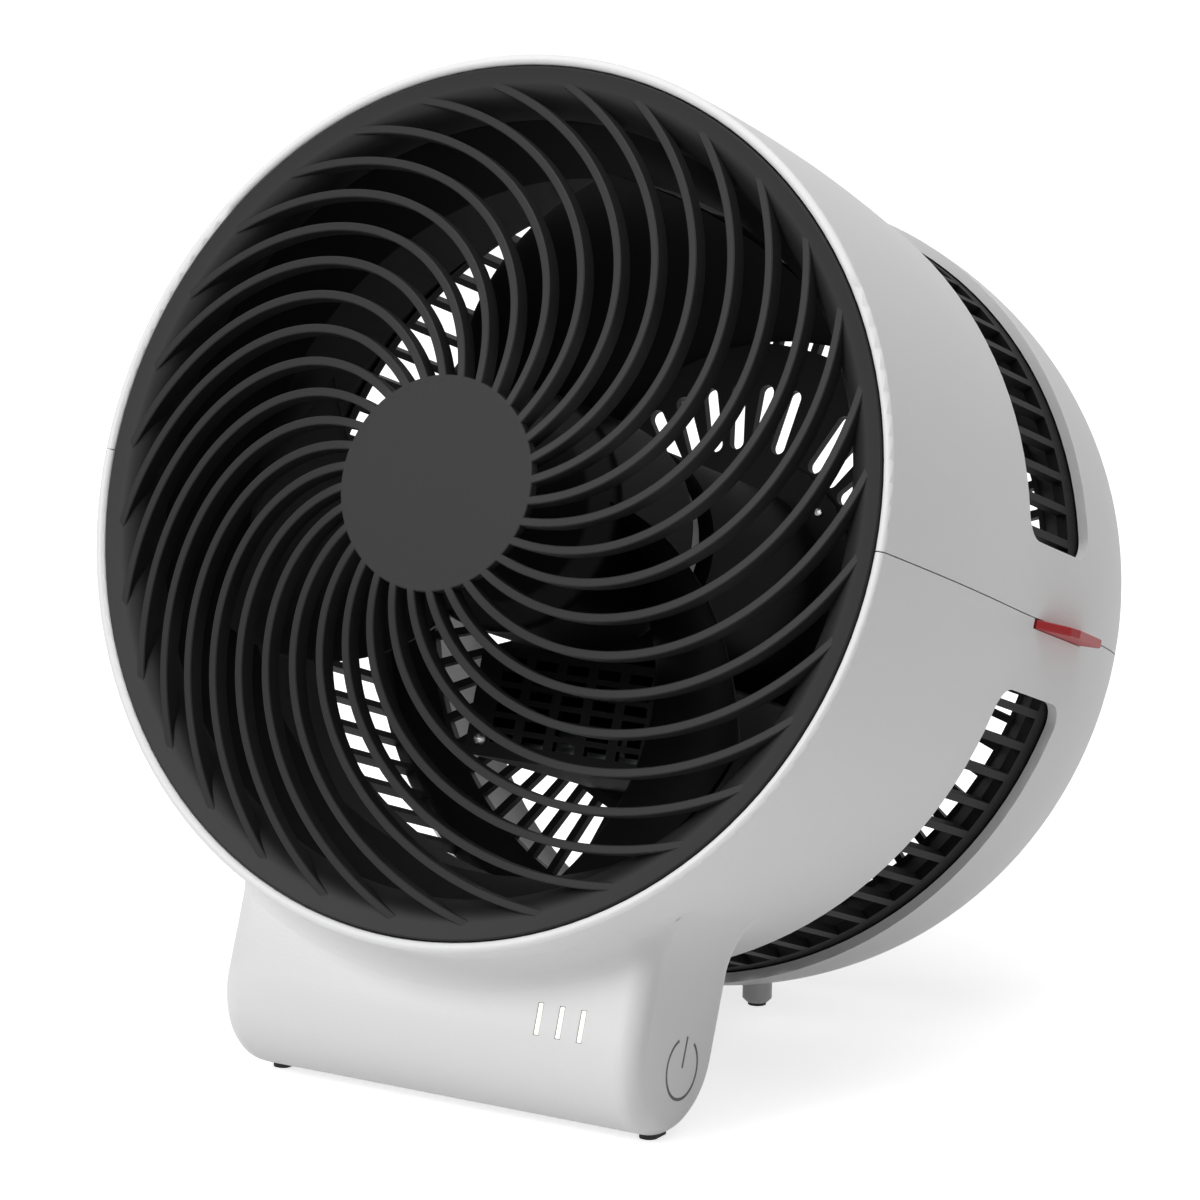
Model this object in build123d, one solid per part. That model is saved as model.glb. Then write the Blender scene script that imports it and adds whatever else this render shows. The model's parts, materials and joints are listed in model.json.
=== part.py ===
from build123d import *
import math
import os

# Desktop air circulator fan. Millimetres.
# World frame: X right, the fan faces -Y, Z up, floor at Z = 0, origin under the middle of its box.
# Fan frame: X right, Y up along the rim plane, Z out of the front along the fan axis, and the
# rim plane at Z = 0. A depth is a distance behind the rim plane, so a depth d lies at Z = -d.

# ---------------------------------------------------------------- driving dimensions
tilt_angle = 19.8            # the head leans back by this much
axis_height = 164.4          # centre of the rim above the floor

# housing shells: (depth, outer radius) of the outer surface, front lip to rear edge
shell_outline = [(0, 120.2), (30, 119.7), (60, 118.2), (85, 116.0), (102, 114.4), (118, 113.9),
                 (134, 113.8), (148, 113.3), (162, 111.8), (174, 109.2), (182, 106.2), (186, 103.4)]
shell_wall = 2.8             # wall of both shells
parting_gap = 0.35           # dark line between the two shells
lip_round = 1.1              # rounding of the front lip
rear_round = 1.2             # rounding of the rear edge

# side slots, one in each quarter of the housing
slot_front_depth = 99.5
slot_rear_depth = 141.2
slot_start_angle = 10.3      # from the parting plane to the slot's end
slot_corner = 7.0

# foot slab under the housing
foot_half_width = 65.0
foot_front_depth = 22.0
foot_thickness = 46.0
foot_clearance = 1.1         # slab's lowest line above the floor
foot_edge_round = 6.0
foot_blend = 26.0            # hollow round between the slab's sides and the housing
foot_blend_sink = 0.15       # how far that round's end lies under the housing's surface
foot_joint_round = 8.0       # hollow round between its front and rear faces and the housing
foot_wall = 3.0

# rear stubs
stub_side = 22.6             # sideways from the middle
stub_back = 118.4            # behind the rim centre, along the floor
stub_radius = 4.2
stub_root_radius = 5.6
stub_chamfer = 1.1
stub_neck = 6.5              # height of its slender end
stub_flare = 3.0             # height over which it widens to its root
stub_top = 26.0              # its root ends inside the housing's wall

# pads
pad_height = 0.9
rear_pad_radius = 2.6
front_pad_side = 57.8
front_pad_width = 5.0
front_pad_length = 9.0
pad_recess = 0.7             # how far a pad sits in its pocket

# front grille
grille_radius = 117.0
grille_lip_depth = 0.3       # grille border's outer edge behind the lip
grille_band_inner = 113.6    # inner edge of the border's flat front band
grille_band_drop = 0.7       # fall of that band towards its inner edge
grille_band_wall = 4.0       # thickness of the border at its outer edge
grille_mouth_radius = 107.4  # middle of the bell mouth
grille_mouth_depth = 4.4
grille_hub_radius = 28.7
grille_hub_rise = 22.6       # hub disc in front of the rim plane
grille_hub_thickness = 3.0
grille_border_inner = 104.9  # end of the border's bell mouth
grille_border_depth = 12.0
grille_border_wall = 1.8
rib_count = 32
rib_width = 2.25
rib_depth = 6.0
rib_end_radius = 114.5       # the ribs run into the border's front band
rib_phase = 8.5              # turn of the first rib at the hub, degrees
rib_lean = 0.523             # degrees a rib turns for each millimetre outwards
rib_curl = 0.00362           # and its growth
dome_drop = 24.3             # fall of the ribs' front over dome_reach
dome_reach = 85.3
dome_power = 1.29

# inner duct
duct_inner = 95.5            # round the impeller
duct_wall = 2.0
duct_flare_inner = 104.9     # at the grille's border
duct_flare_depth = 40.0
duct_flare_middle = 99.4     # inner radius half-way along the flare
duct_step_depth = 68.0       # front of the flange that widens the duct's rear end
duct_rim_outer = 110.0
duct_front_gap = 0.4         # to the grille's border
duct_rear_depth = 92.8
duct_notch_gap = 0.6         # round the screw bosses that pass through the rim

# intake basket
basket_gap = 0.4             # to the duct's rear edge
basket_outer = 110.4
basket_wall = 3.0
basket_lug_thickness = 3.0   # lugs for the screws inside the front edge
basket_slot_front = 97.0
basket_slot_rear = 134.5
basket_rear_depth = 150.0
basket_corner = 9.0
bar_pitch = 5.0              # degrees
bar_width = 2.3
rear_bar_width = 2.2         # between the radial slots of the rear wall
rear_slot_inner = 72.0
rear_slot_outer = 97.0
hub_slot_count = 40
hub_slot_width = 4.4
hub_slot_inner = 41.0
hub_slot_outer = 60.0

# basket screws into the lower shell
basket_screw_angles = (-16.0, -64.0, -116.0, -164.0)
basket_screw_radius = 104.2
screw_thread_radius = 1.1
screw_head_radius = 2.0
screw_head_height = 1.4
boss_radius = 2.6
boss_length = 9.0
basket_screw_grip = 7.0      # of a screw in its boss
screw_fit = 0.05             # radial clearance of a screw in its hole

# motor
motor_column_radius = 30.0
motor_column_wall = 2.2
motor_front_depth = 78.0
motor_plate = 3.0
motor_flange_radius = 40.0
motor_flange_thickness = 2.6
motor_screw_circle = 35.5
motor_screw_count = 4
bearing_tube_outer = 9.6
bearing_outer = 8.0
bearing_width = 5.0
shaft_radius = 2.5
shaft_front_depth = 14.0
shaft_rear_depth = 85.0
running_fit = 0.02           # radial clearance of the shaft in its bearings
seat_fit = 0.01              # radial clearance of parts that sit in one another
stator_radius = 22.0
stator_core_length = 12.0
stator_front_depth = 57.0
tooth_count = 9
tooth_width = 4.6
coil_thickness = 2.4
coil_inner = 12.6
coil_outer = 19.4
coil_overhang = 2.0
air_gap = 0.8
magnet_thickness = 3.0
rotor_cup_wall = 1.6
rotor_cup_front_depth = 49.0
rotor_cup_length = 25.0
motor_board_radius = 24.0
board_thickness = 1.6

# impeller
blade_count = 3
impeller_hub_radius = 33.0
impeller_hub_wall = 2.2
impeller_front_depth = 12.0
impeller_rear_depth = 60.0
blade_tip_gap = 1.5          # to the duct
blade_thickness = 2.2
blade_phase = 83.5           # middle of the first blade at mid span, degrees from +X
blade_sweep = 48.0           # degrees that a blade turns back through from front to rear edge
blade_skew = 0.7             # degrees that it leans for each millimetre outwards
blade_root_depth = (14.0, 58.0)
blade_tip_depth = (18.0, 56.0)
hub_boss_radius = 7.0
nut_radius = 5.0
nut_height = 4.0
nut_sink = 0.6               # its seat behind the hub's inner face
hub_round_depth = 10.0       # the hub's domed end reaches this far back
hub_rib_count = 3
hub_rib_width = 2.0

# driver box under the motor column
driver_width = 66.0
driver_top = -31.5           # below the fan axis
driver_height = 31.0
driver_front_depth = 73.0
driver_wall = 1.8
vent_columns = 5
vent_rows = 6
vent_pitch_x = 10.0
vent_pitch_y = 4.3
vent_width = 7.0
vent_height = 2.7
vent_side = -2.0             # middle of the grid, sideways
vent_below = 2.6             # upper edge of the grid under the cover's top
vent_cover_thickness = 2.0
driver_corner = 2.5
driver_post_radius = 2.9
driver_post_length = 10.0
driver_rail_side = 10.0      # middle of a board rail from the box's side
driver_rail_width = 4.0
driver_rail_height = 3.0

# release levers
lever_thickness = 2.5
lever_gap = 0.2              # under the parting plane and above the notch floor
lever_front_depth = 110.3
lever_rear_depth = 141.0
lever_reach = 121.7          # outer edge from the fan axis
lever_slope = 8.5            # the front edge runs back by this much
lever_inner = 109.6
lever_swing = 14.0           # degrees outwards
lever_notch_front = 1.6      # free space in front of the lever in the shell's notch
lever_notch_rear = 0.3
lever_corner = 2.2
pivot_side = 108.9
pivot_depth = 112.6
pivot_eye_radius = 2.2
post_wall = 0.4              # of the pin's post past the lever's eye
lever_room = 0.5             # between the basket and what swings or stands beside it
pin_radius = 0.9
pin_length = 7.0

# foot internals
light_count = 3
light_pitch = 6.5
light_first = 34.8           # first bar from the middle
light_top = -127.0
light_height = 8.4
light_width = 1.35
light_gap = 0.15
lens_seat_gap = 0.4          # behind the wall, clear of its round
lens_rim = 1.0
led_length = 3.0
led_width = 2.0
led_height = 1.2
symbol_radius = 8.2
symbol_line = 0.8
symbol_depth = 0.3
symbol_gap = 0.05            # between the inlaid lines and their groove
symbol_back = 48.9           # centre of the symbol behind the rim plane
symbol_up = -137.0           # and along the rim plane
symbol_gap_angle = 62.0      # opening of the ring
symbol_bar_length = 8.4
sensor_radius = 9.0
sensor_thickness = 1.0
board_left = -26.0
board_right = 60.0
board_bottom = -142.0
board_top = -122.0
board_depth = 30.0
board_screw_inset = 4.0
foot_cover_half_width = 54.0
foot_cover_top = -125.5
foot_cover_bottom = -148.5
foot_cover_thickness = 1.8
foot_cover_gap = 0.3
foot_cover_corner = 4.0
foot_cover_ledge = 2.0
foot_screw_side = 48.5
foot_screw_up = -130.5
foot_boss_radius = 3.0
foot_boss_length = 12.0
inlet_side = -30.0
inlet_up = -136.5
inlet_width = 9.0
inlet_height = 10.0
inlet_length = 12.0
inlet_sink = 2.0             # its mouth lies this far in front of the slab's rear face
inlet_margin = 0.15          # gap round it in the foot cover
inlet_bore = 2.75
inlet_bore_depth = 9.5
inlet_pin = 1.0

# ---------------------------------------------------------------- worked-out values
foot_rear_depth = foot_front_depth + foot_thickness
foot_round = foot_thickness / 2
foot_middle_depth = foot_front_depth + foot_round
tilt = math.radians(tilt_angle)
foot_round_height = foot_round + foot_clearance
foot_round_up = (foot_round_height - axis_height + foot_middle_depth * math.sin(tilt)) / math.cos(tilt)
foot_bottom_up = foot_round_up - foot_round
foot_joint_top = -60.0       # the foot and its rounds lie below this line
basket_front_depth = duct_rear_depth + basket_gap
basket_inner = basket_outer - basket_wall
rotor_inner = stator_radius + air_gap
rotor_cup_outer = rotor_inner + magnet_thickness + rotor_cup_wall
impeller_tip_radius = duct_inner - blade_tip_gap
bearing_front_depth = stator_front_depth - 1
bearing_rear_depth = motor_front_depth
big = 400.0


# ---------------------------------------------------------------- helpers
def shell_radius(depth):
    """Outer radius of the housing at a depth, by straight lines between the outline's points."""
    for (d0, r0), (d1, r1) in zip(shell_outline, shell_outline[1:]):
        if depth <= d1:
            return r0 + (r1 - r0) * (depth - d0) / (d1 - d0)
    return shell_outline[-1][1]


def lathe(points):
    """Solid of revolution about the fan axis from (radius, depth) points."""
    outline = Polyline(*[(r, -d) for r, d in points], close=True)
    return revolve(Plane.XZ * make_face(outline), Axis.Z)


def tube(outer, inner, front, rear):
    """Round tube about the fan axis between two depths."""
    return lathe([(inner, front), (outer, front), (outer, rear), (inner, rear)])


def rod(radius, front, rear, x=0.0, y=0.0):
    """Round rod along the fan axis between two depths."""
    middle = -(front + rear) / 2
    return Pos(x, y, middle) * Cylinder(radius, rear - front)


def block(x0, x1, y0, y1, front, rear):
    """Box between two sides, two heights and two depths of the fan frame."""
    size = Box(x1 - x0, y1 - y0, rear - front)
    return Pos((x0 + x1) / 2, (y0 + y1) / 2, -(front + rear) / 2) * size


def polar(radius, angle):
    """Point of the rim plane at an angle from +X."""
    return radius * math.cos(math.radians(angle)), radius * math.sin(math.radians(angle))


def ring_of(shape, count, start=0.0):
    """Copies of a shape evenly spaced about the fan axis."""
    return [Rot(0, 0, start + i * 360 / count) * shape for i in range(count)]


def pan_screw(front, rear, x, y, head_at_rear=True):
    """Pan-head screw along the fan axis: thread between two depths and a head past one end."""
    thread = rod(screw_thread_radius, front, rear, x, y)
    if head_at_rear:
        head = rod(screw_head_radius, rear, rear + screw_head_height, x, y)
        top = head.faces().sort_by(Axis.Z)[0]
    else:
        head = rod(screw_head_radius, front - screw_head_height, front, x, y)
        top = head.faces().sort_by(Axis.Z)[-1]
    head = fillet(top.edges(), screw_head_height * 0.4)
    return thread + head


def to_world(shape):
    """Fan frame to world frame, before the sideways shift that centres the box."""
    return Pos(0, 0, axis_height) * Rot(90 - tilt_angle, 0, 0) * shape


def to_fan(shape):
    """World frame, before the centring shift, to the fan frame."""
    return Rot(tilt_angle - 90, 0, 0) * Pos(0, 0, -axis_height) * shape


# ---------------------------------------------------------------- housing
def wall_line(inset):
    """Line of the housing's wall from lip to rear edge, moved inwards by an inset."""
    depths = [d for d, r in shell_outline]
    depths[0] = depths[0] + lip_round
    depths[-1] = depths[-1] - rear_round
    return Spline(*[(shell_radius(d) - inset, -d) for d in depths])


def shell_body():
    """Both housing shells as one turned wall with a rounded lip and rear edge."""
    outer = wall_line(0)
    inner = wall_line(shell_wall)
    lip_middle = ((inner @ 0) + (outer @ 0)) / 2 + Vector(0, lip_round)
    rear_middle = ((inner @ 1) + (outer @ 1)) / 2 - Vector(0, rear_round)
    lip = ThreePointArc(inner @ 0, lip_middle, outer @ 0)
    rear = ThreePointArc(outer @ 1, rear_middle, inner @ 1)
    return revolve(Plane.XZ * make_face(outer + rear + inner + lip), Axis.Z)


def side_slot():
    """Cutter of one side slot: a ring sector with four rounded corners."""
    outer = shell_radius(0) + 5
    inner = shell_radius(slot_rear_depth) - shell_wall - 5
    face = Plane.XZ * Pos((outer + inner) / 2, -(slot_front_depth + slot_rear_depth) / 2) * Rectangle(
        outer - inner, slot_rear_depth - slot_front_depth)
    sweep_angle = 90 - 2 * slot_start_angle
    sector = Rot(0, 0, slot_start_angle) * revolve(face, Axis.Z, sweep_angle)
    radial = [e for e in sector.edges().filter_by(GeomType.LINE) if abs(e.tangent_at(0.5).Z) < 0.01]
    return fillet(radial, slot_corner)


def foot_outline(depth, inset=0.0):
    """Section of the foot slab at a depth: straight sides with hollow rounds into the housing."""
    housing = shell_radius(depth) - foot_blend_sink
    side = foot_half_width - inset
    blend = foot_blend + inset
    centre_x = side + blend
    reach = housing + blend
    centre_y = -math.sqrt(reach * reach - centre_x * centre_x)
    touch_x = centre_x * housing / reach
    touch_y = centre_y * housing / reach
    left = RadiusArc((-touch_x, touch_y), (-side, centre_y), blend)
    right = RadiusArc((side, centre_y), (touch_x, touch_y), blend)
    bottom = Polyline((-side, centre_y), (-side, foot_bottom_up), (side, foot_bottom_up), (side, centre_y))
    top = Polyline((touch_x, touch_y), (0, -housing * 0.6), (-touch_x, touch_y))
    return Pos(0, 0, -depth) * make_face(left + bottom + right + top)


def foot_slab(inset=0.0):
    """Foot slab with a full-round bottom; an inset makes the hollow inside it."""
    front = foot_front_depth + inset
    rear = foot_rear_depth - inset
    slab = loft([foot_outline(front, inset), foot_outline(rear, inset)], ruled=True)
    width = 2 * (foot_half_width + foot_blend + 20)
    rounded = Pos(0, foot_round_up, -foot_middle_depth) * Rot(0, 90, 0) * Cylinder(
        foot_round - inset, width)
    above = block(-width / 2, width / 2, foot_round_up, 0, front, rear)
    return slab & (rounded + above)


def is_foot_edge(edge):
    """True for the front and rear outer edges of the foot slab, its round ends and hollow sides."""
    middle = edge @ 0.5
    out = abs(middle.X) > foot_half_width - 1
    along = middle.Y > foot_round_up and abs(edge.tangent_at(0.5).Z) > 0.9
    inside = math.hypot(middle.X, middle.Y) < shell_radius(foot_rear_depth)
    return out and not along and not inside


def foot_with_housing():
    """Solid housing and foot together: rounded foot edges and hollow rounds where they meet."""
    slab = foot_slab()
    slab = fillet([e for e in slab.edges() if is_foot_edge(e)], foot_edge_round)
    body = solid_housing() + slab
    joint = []
    for edge in body.edges():
        middle = edge @ 0.5
        if abs(middle.X) > 1 or middle.Y > 0:
            continue
        on_housing = abs(math.hypot(middle.X, middle.Y) - shell_radius(-middle.Z)) < 0.5
        if on_housing and foot_front_depth - 1 < -middle.Z < foot_rear_depth + 1:
            joint.append(edge)
    return fillet(joint, foot_joint_round)


def solid_housing():
    """The housing as if it were filled up, without its rounded lip and rear edge."""
    curve = wall_line(0)
    start = curve @ 0
    end = curve @ 1
    cap_front = Line((0, start.Y), start)
    cap_rear = Line(end, (0, end.Y))
    middle = Line((0, end.Y), (0, start.Y))
    return revolve(Plane.XZ * make_face(cap_front + curve + cap_rear + middle), Axis.Z)


def stub(side):
    """Rear stub, upright in the world frame, moved to the fan frame."""
    foot_level = pad_height
    neck = foot_level + stub_neck
    outline = Polyline((0, foot_level), (stub_radius - stub_chamfer, foot_level),
                       (stub_radius, foot_level + stub_chamfer), (stub_radius, neck),
                       (stub_root_radius, neck + stub_flare), (stub_root_radius, stub_top),
                       (0, stub_top), close=True)
    upright = revolve(Plane.XZ * make_face(outline), Axis.Z)
    return to_fan(Pos(side, stub_back, 0) * upright)


def stub_pocket(side):
    """Pocket in the stub's end that takes its pad."""
    low = pad_height - 0.5
    return to_fan(Pos(side, stub_back, (low + pad_height + pad_recess) / 2) * Cylinder(
        rear_pad_radius, pad_height + pad_recess - low))


def rear_pad(side):
    """Round pad under a stub."""
    height = pad_height + pad_recess
    return to_fan(Pos(side, stub_back, height / 2) * Cylinder(rear_pad_radius, height))


def front_pad_place(side):
    """World place of a front pad: under the foot's lowest line."""
    lowest = foot_middle_depth * math.cos(tilt) + foot_round_up * math.sin(tilt)
    return Pos(side, lowest, 0)


def front_pad(side):
    """Flat pad glued into a pocket under the foot."""
    height = foot_clearance + pad_recess
    pad = Pos(0, 0, height / 2) * Box(front_pad_width, front_pad_length, height)
    pad = fillet(pad.edges().filter_by(Axis.Z), front_pad_width * 0.45)
    return to_fan(front_pad_place(side) * pad)


def lever_outline():
    """Lever seen square to the parting plane, as (x, depth) points on the right-hand side."""
    wall_x = shell_radius(lever_front_depth)
    return [(lever_inner, lever_front_depth), (wall_x, lever_front_depth),
            (lever_reach - 1.0, lever_front_depth + lever_slope),
            (lever_reach, lever_front_depth + lever_slope + 4.0),
            (lever_reach - 1.4, lever_rear_depth), (lever_inner, lever_rear_depth)]


def lever_notch():
    """Notch in the lower shell's upper edge that the lever passes through, right-hand side."""
    front = lever_front_depth - lever_notch_front
    rear = lever_rear_depth + lever_notch_rear
    low = -lever_thickness - 2 * lever_gap
    return block(lever_inner - 4, lever_reach + 4, low, parting_gap, front, rear)


def pivot_boss():
    """Post on the lower shell's inner wall that holds the lever's pin, right-hand side."""
    top = -lever_thickness - 2 * lever_gap
    height = pin_length
    wall_x = shell_radius(pivot_depth) - shell_wall * 0.5
    half = pivot_eye_radius + post_wall
    arm = block(pivot_side, wall_x, top - height, top, pivot_depth - half, pivot_depth + half)
    eye = Pos(pivot_side, top - height / 2, -pivot_depth) * Rot(90, 0, 0) * Cylinder(half, height)
    hole = Pos(pivot_side, top - height / 2, -pivot_depth) * Rot(90, 0, 0) * Cylinder(
        pin_radius + screw_fit, height + 1)
    return arm + eye, hole


def lever_window():
    """Window in the basket's wall, clear of the lever, its eye and its post, right-hand side."""
    inner = pivot_side - pivot_eye_radius - post_wall - lever_room
    low = -lever_thickness - 2 * lever_gap - pin_length - lever_room
    return block(inner, basket_outer + 5, low, lever_room, basket_slot_front, lever_rear_depth + lever_room)


def basket_boss(angle):
    """Screw boss on the lower shell's inner wall, in front of the basket's lug."""
    x, y = polar(basket_screw_radius, angle)
    rear = basket_front_depth
    boss = rod(boss_radius, rear - boss_length, rear, x, y)
    x1, y1 = polar(shell_radius(rear - boss_length) - shell_wall * 0.4, angle)
    web = Pos((x + x1) / 2, (y + y1) / 2, -(rear - boss_length / 2)) * Rot(0, 0, angle) * Box(
        math.hypot(x1 - x, y1 - y), boss_radius * 1.2, boss_length)
    hole = rod(screw_thread_radius + screw_fit, rear - boss_length + 1, rear + 1, x, y)
    return boss + web, hole


def foot_cover_prism(grow):
    """Straight prism through the foot's rear half with the foot cover's outline, grown by a margin."""
    width = 2 * (foot_cover_half_width + grow)
    height = foot_cover_top - foot_cover_bottom + 2 * grow
    middle_y = (foot_cover_top + foot_cover_bottom) / 2
    prism = Pos(0, middle_y, -foot_rear_depth) * Box(width, height, foot_thickness)
    return fillet(prism.edges().filter_by(Axis.Z), foot_cover_corner + grow)


def foot_screw_places():
    """Places of the foot cover's screws."""
    return [(-foot_screw_side, foot_screw_up), (foot_screw_side, foot_screw_up)]


def light_places():
    """Middle of each light bar on the foot's front face."""
    y = light_top - light_height / 2
    return [(light_first + i * light_pitch, y) for i in range(light_count)]


def symbol_shape(depth, grow=0.0):
    """Power symbol as a solid of a given depth, with its lines grown by a margin."""
    half_line = symbol_line / 2 + grow
    ring = Circle(symbol_radius + half_line) - Circle(symbol_radius - half_line)
    half = math.radians(symbol_gap_angle / 2) - grow / symbol_radius
    far = symbol_radius * 2
    wedge = Polyline((0, 0), (far * math.sin(half), far * math.cos(half)),
                     (-far * math.sin(half), far * math.cos(half)), close=True)
    ring = ring - make_face(wedge)
    bar_middle = symbol_radius + symbol_line / 2 - symbol_bar_length / 2
    bar = Pos(0, bar_middle) * Rectangle(2 * half_line, symbol_bar_length + 2 * grow)
    return extrude(ring + bar, depth)


def on_side_face(shape):
    """Places a flat symbol drawn in XY on the foot's right side face, upright along the slab."""
    return Pos(foot_half_width - symbol_depth, symbol_up, -symbol_back) * Rot(0, 90, 0) * shape


def hollow_foot(shell):
    """Cuts the foot's cavity, its rear opening, light windows, symbol groove and pad pockets."""
    housing = rod(shell_radius(foot_front_depth) + 0.5, foot_front_depth - 5, foot_rear_depth + 5)
    shell = shell - (foot_slab(foot_wall) - housing)
    seat = foot_slab() - foot_slab(foot_cover_thickness)
    shell = shell - (seat & foot_cover_prism(foot_cover_gap))
    shell = shell - (foot_cover_prism(-foot_cover_ledge) - foot_slab(foot_wall + 1))
    for x, y in light_places():
        shell = shell - block(x - light_width / 2 - light_gap, x + light_width / 2 + light_gap,
                              y - light_height / 2 - light_gap, y + light_height / 2 + light_gap,
                              foot_front_depth - 2, foot_front_depth + foot_wall + 2)
    shell = shell - on_side_face(symbol_shape(symbol_depth + 1, symbol_gap))
    for side in (-front_pad_side, front_pad_side):
        shell = shell - front_pad(side)
    return shell


def foot_posts():
    """Posts in the foot for the cover's screws and the control board's screws."""
    posts = []
    holes = []
    rear = foot_rear_depth - foot_cover_thickness
    roof = -shell_radius(rear) + shell_wall
    for x, y in foot_screw_places():
        front = rear - foot_boss_length
        posts.append(rod(foot_boss_radius, front, rear, x, y))
        posts.append(block(x - foot_boss_radius, x + foot_boss_radius, y, roof, front, rear))
        holes.append(rod(screw_thread_radius + screw_fit, front + 1, rear + 1, x, y))
    for x, y in board_screw_places():
        front = foot_front_depth + foot_wall
        posts.append(rod(foot_boss_radius, front - 1, board_depth, x, y))
        holes.append(rod(screw_thread_radius + screw_fit, front + 0.4, board_depth + 1, x, y))
    return posts, holes


def board_screw_places():
    """Places of the control board's two screws."""
    y = board_top - board_screw_inset
    return [(board_left + board_screw_inset, y), (board_right - board_screw_inset, y)]


def build_shells():
    """Lower shell with foot and stubs, and upper shell."""
    body = shell_body()
    cutter = side_slot()
    body = body - ring_of(cutter, 4)
    upper_box = block(-big, big, parting_gap / 2, big, -big, big)
    lower_box = block(-big, big, -big, -parting_gap / 2, -big, big)
    upper = body & upper_box
    inside = shell_inside()
    foot = foot_with_housing() - inside
    foot = foot & block(-big, big, -big, foot_joint_top, 0.5, foot_rear_depth + 20)
    lower = (body & lower_box) + foot
    for side in (-stub_side, stub_side):
        lower = lower + (stub(side) - inside)
    lower = lower - inside
    lower = hollow_foot(lower)
    posts, holes = foot_posts()
    keep = foot_slab(foot_cover_thickness) - inside
    for post in posts:
        lower = lower + (post & keep)
    for angle in basket_screw_angles:
        boss, hole = basket_boss(angle)
        lower = lower + boss
        holes.append(hole)
    boss, hole = pivot_boss()
    for flip in (False, True):
        one = mirror(boss, Plane.YZ) if flip else boss
        cut = mirror(hole, Plane.YZ) if flip else hole
        notch = mirror(lever_notch(), Plane.YZ) if flip else lever_notch()
        lower = lower + one
        lower = lower - notch
        holes.append(cut)
    for hole in holes:
        lower = lower - hole
    for side in (-stub_side, stub_side):
        lower = lower - stub_pocket(side)
    return lower, upper


def shell_inside():
    """Space inside the housing's wall."""
    curve = wall_line(shell_wall)
    first = Vector(0, 20)
    last = Vector(0, -shell_outline[-1][0] - 20)
    front = Polyline(first, Vector((curve @ 0).X, 20), curve @ 0)
    rear = Polyline(curve @ 1, Vector((curve @ 1).X, last.Y), last)
    middle = Line(last, first)
    return revolve(Plane.XZ * make_face(front + curve + rear + middle), Axis.Z)


# ---------------------------------------------------------------- front grille
def dome_rise(radius):
    """Height of the ribs' front in front of the rim plane at a radius."""
    share = max(0.0, radius - grille_hub_radius) / dome_reach
    return grille_hub_rise - dome_drop * share ** dome_power


def rib_angle(radius):
    """Angle in degrees that a rib has turned through at a radius, growing faster outwards."""
    out = radius - grille_hub_radius
    return rib_phase + rib_lean * out + rib_curl * out * out


def rib_face():
    """One spiral rib seen along the fan axis, from inside the hub to the border."""
    steps = 9
    start = grille_hub_radius - 2
    left = []
    right = []
    for i in range(steps + 1):
        radius = start + (rib_end_radius - start) * i / steps
        lean = radius * math.radians(rib_angle(radius + 0.5) - rib_angle(radius - 0.5))
        half = math.degrees(rib_width / 2 / radius) * math.sqrt(1 + lean * lean)
        left.append(polar(radius, rib_angle(radius) + half))
        right.append(polar(radius, rib_angle(radius) - half))
    outer = Line(left[-1], right[-1])
    inner = Line(right[0], left[0])
    return make_face(Spline(*left) + outer + Spline(*reversed(right)) + inner)


def dome_layer(thickness):
    """Turned layer of a thickness whose front follows the grille's dome."""
    radii = [grille_hub_radius + (rib_end_radius - grille_hub_radius) * i / 6 for i in range(7)]
    front = Spline(*[(r, dome_rise(r)) for r in radii])
    back = Spline(*[(r, dome_rise(r) - thickness) for r in radii])
    inner = Polyline(back @ 0, (0, grille_hub_rise - thickness), (0, grille_hub_rise), front @ 0)
    outer = Line(front @ 1, back @ 1)
    return revolve(Plane.XZ * make_face(front + outer + back + inner), Axis.Z)


def build_front_grille():
    """Front grille: hub disc, spiral ribs on a dome and a border with a flat band and a bell mouth."""
    rib = extrude(rib_face(), 40)
    ribs = [Rot(0, 0, i * 360 / rib_count) * Pos(0, 0, -14) * rib for i in range(rib_count)]
    layer = dome_layer(rib_depth)
    ribs = [layer & r for r in ribs]
    hub = rod(grille_hub_radius, -grille_hub_rise, -grille_hub_rise + grille_hub_thickness)
    hub_edge = hub.faces().sort_by(Axis.Z)[-1].edges()
    hub = fillet(hub_edge, 0.5)
    lip = grille_border_wall * 0.3
    band_end = (grille_band_inner, -grille_lip_depth - grille_band_drop)
    mouth_end = (grille_border_inner, -grille_border_depth)
    outside = Polyline(band_end, (grille_radius - lip, -grille_lip_depth),
                       (grille_radius, -grille_lip_depth - lip),
                       (grille_radius, -grille_lip_depth - grille_band_wall),
                       (grille_border_inner + grille_border_wall, -grille_border_depth), mouth_end)
    mouth = ThreePointArc(mouth_end, (grille_mouth_radius, -grille_mouth_depth), band_end)
    border = revolve(Plane.XZ * make_face(outside + mouth), Axis.Z)
    return hub.fuse(border, *ribs)


# ---------------------------------------------------------------- duct and basket
def flare_line(inset):
    """Curve of the duct's funnel, moved outwards by an inset, from its front to its straight part."""
    front = grille_border_depth + duct_front_gap
    middle = (front + duct_flare_depth) / 2
    return ThreePointArc((duct_flare_inner + inset, -front), (duct_flare_middle + inset, -middle),
                         (duct_inner + inset, -duct_flare_depth))


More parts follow.
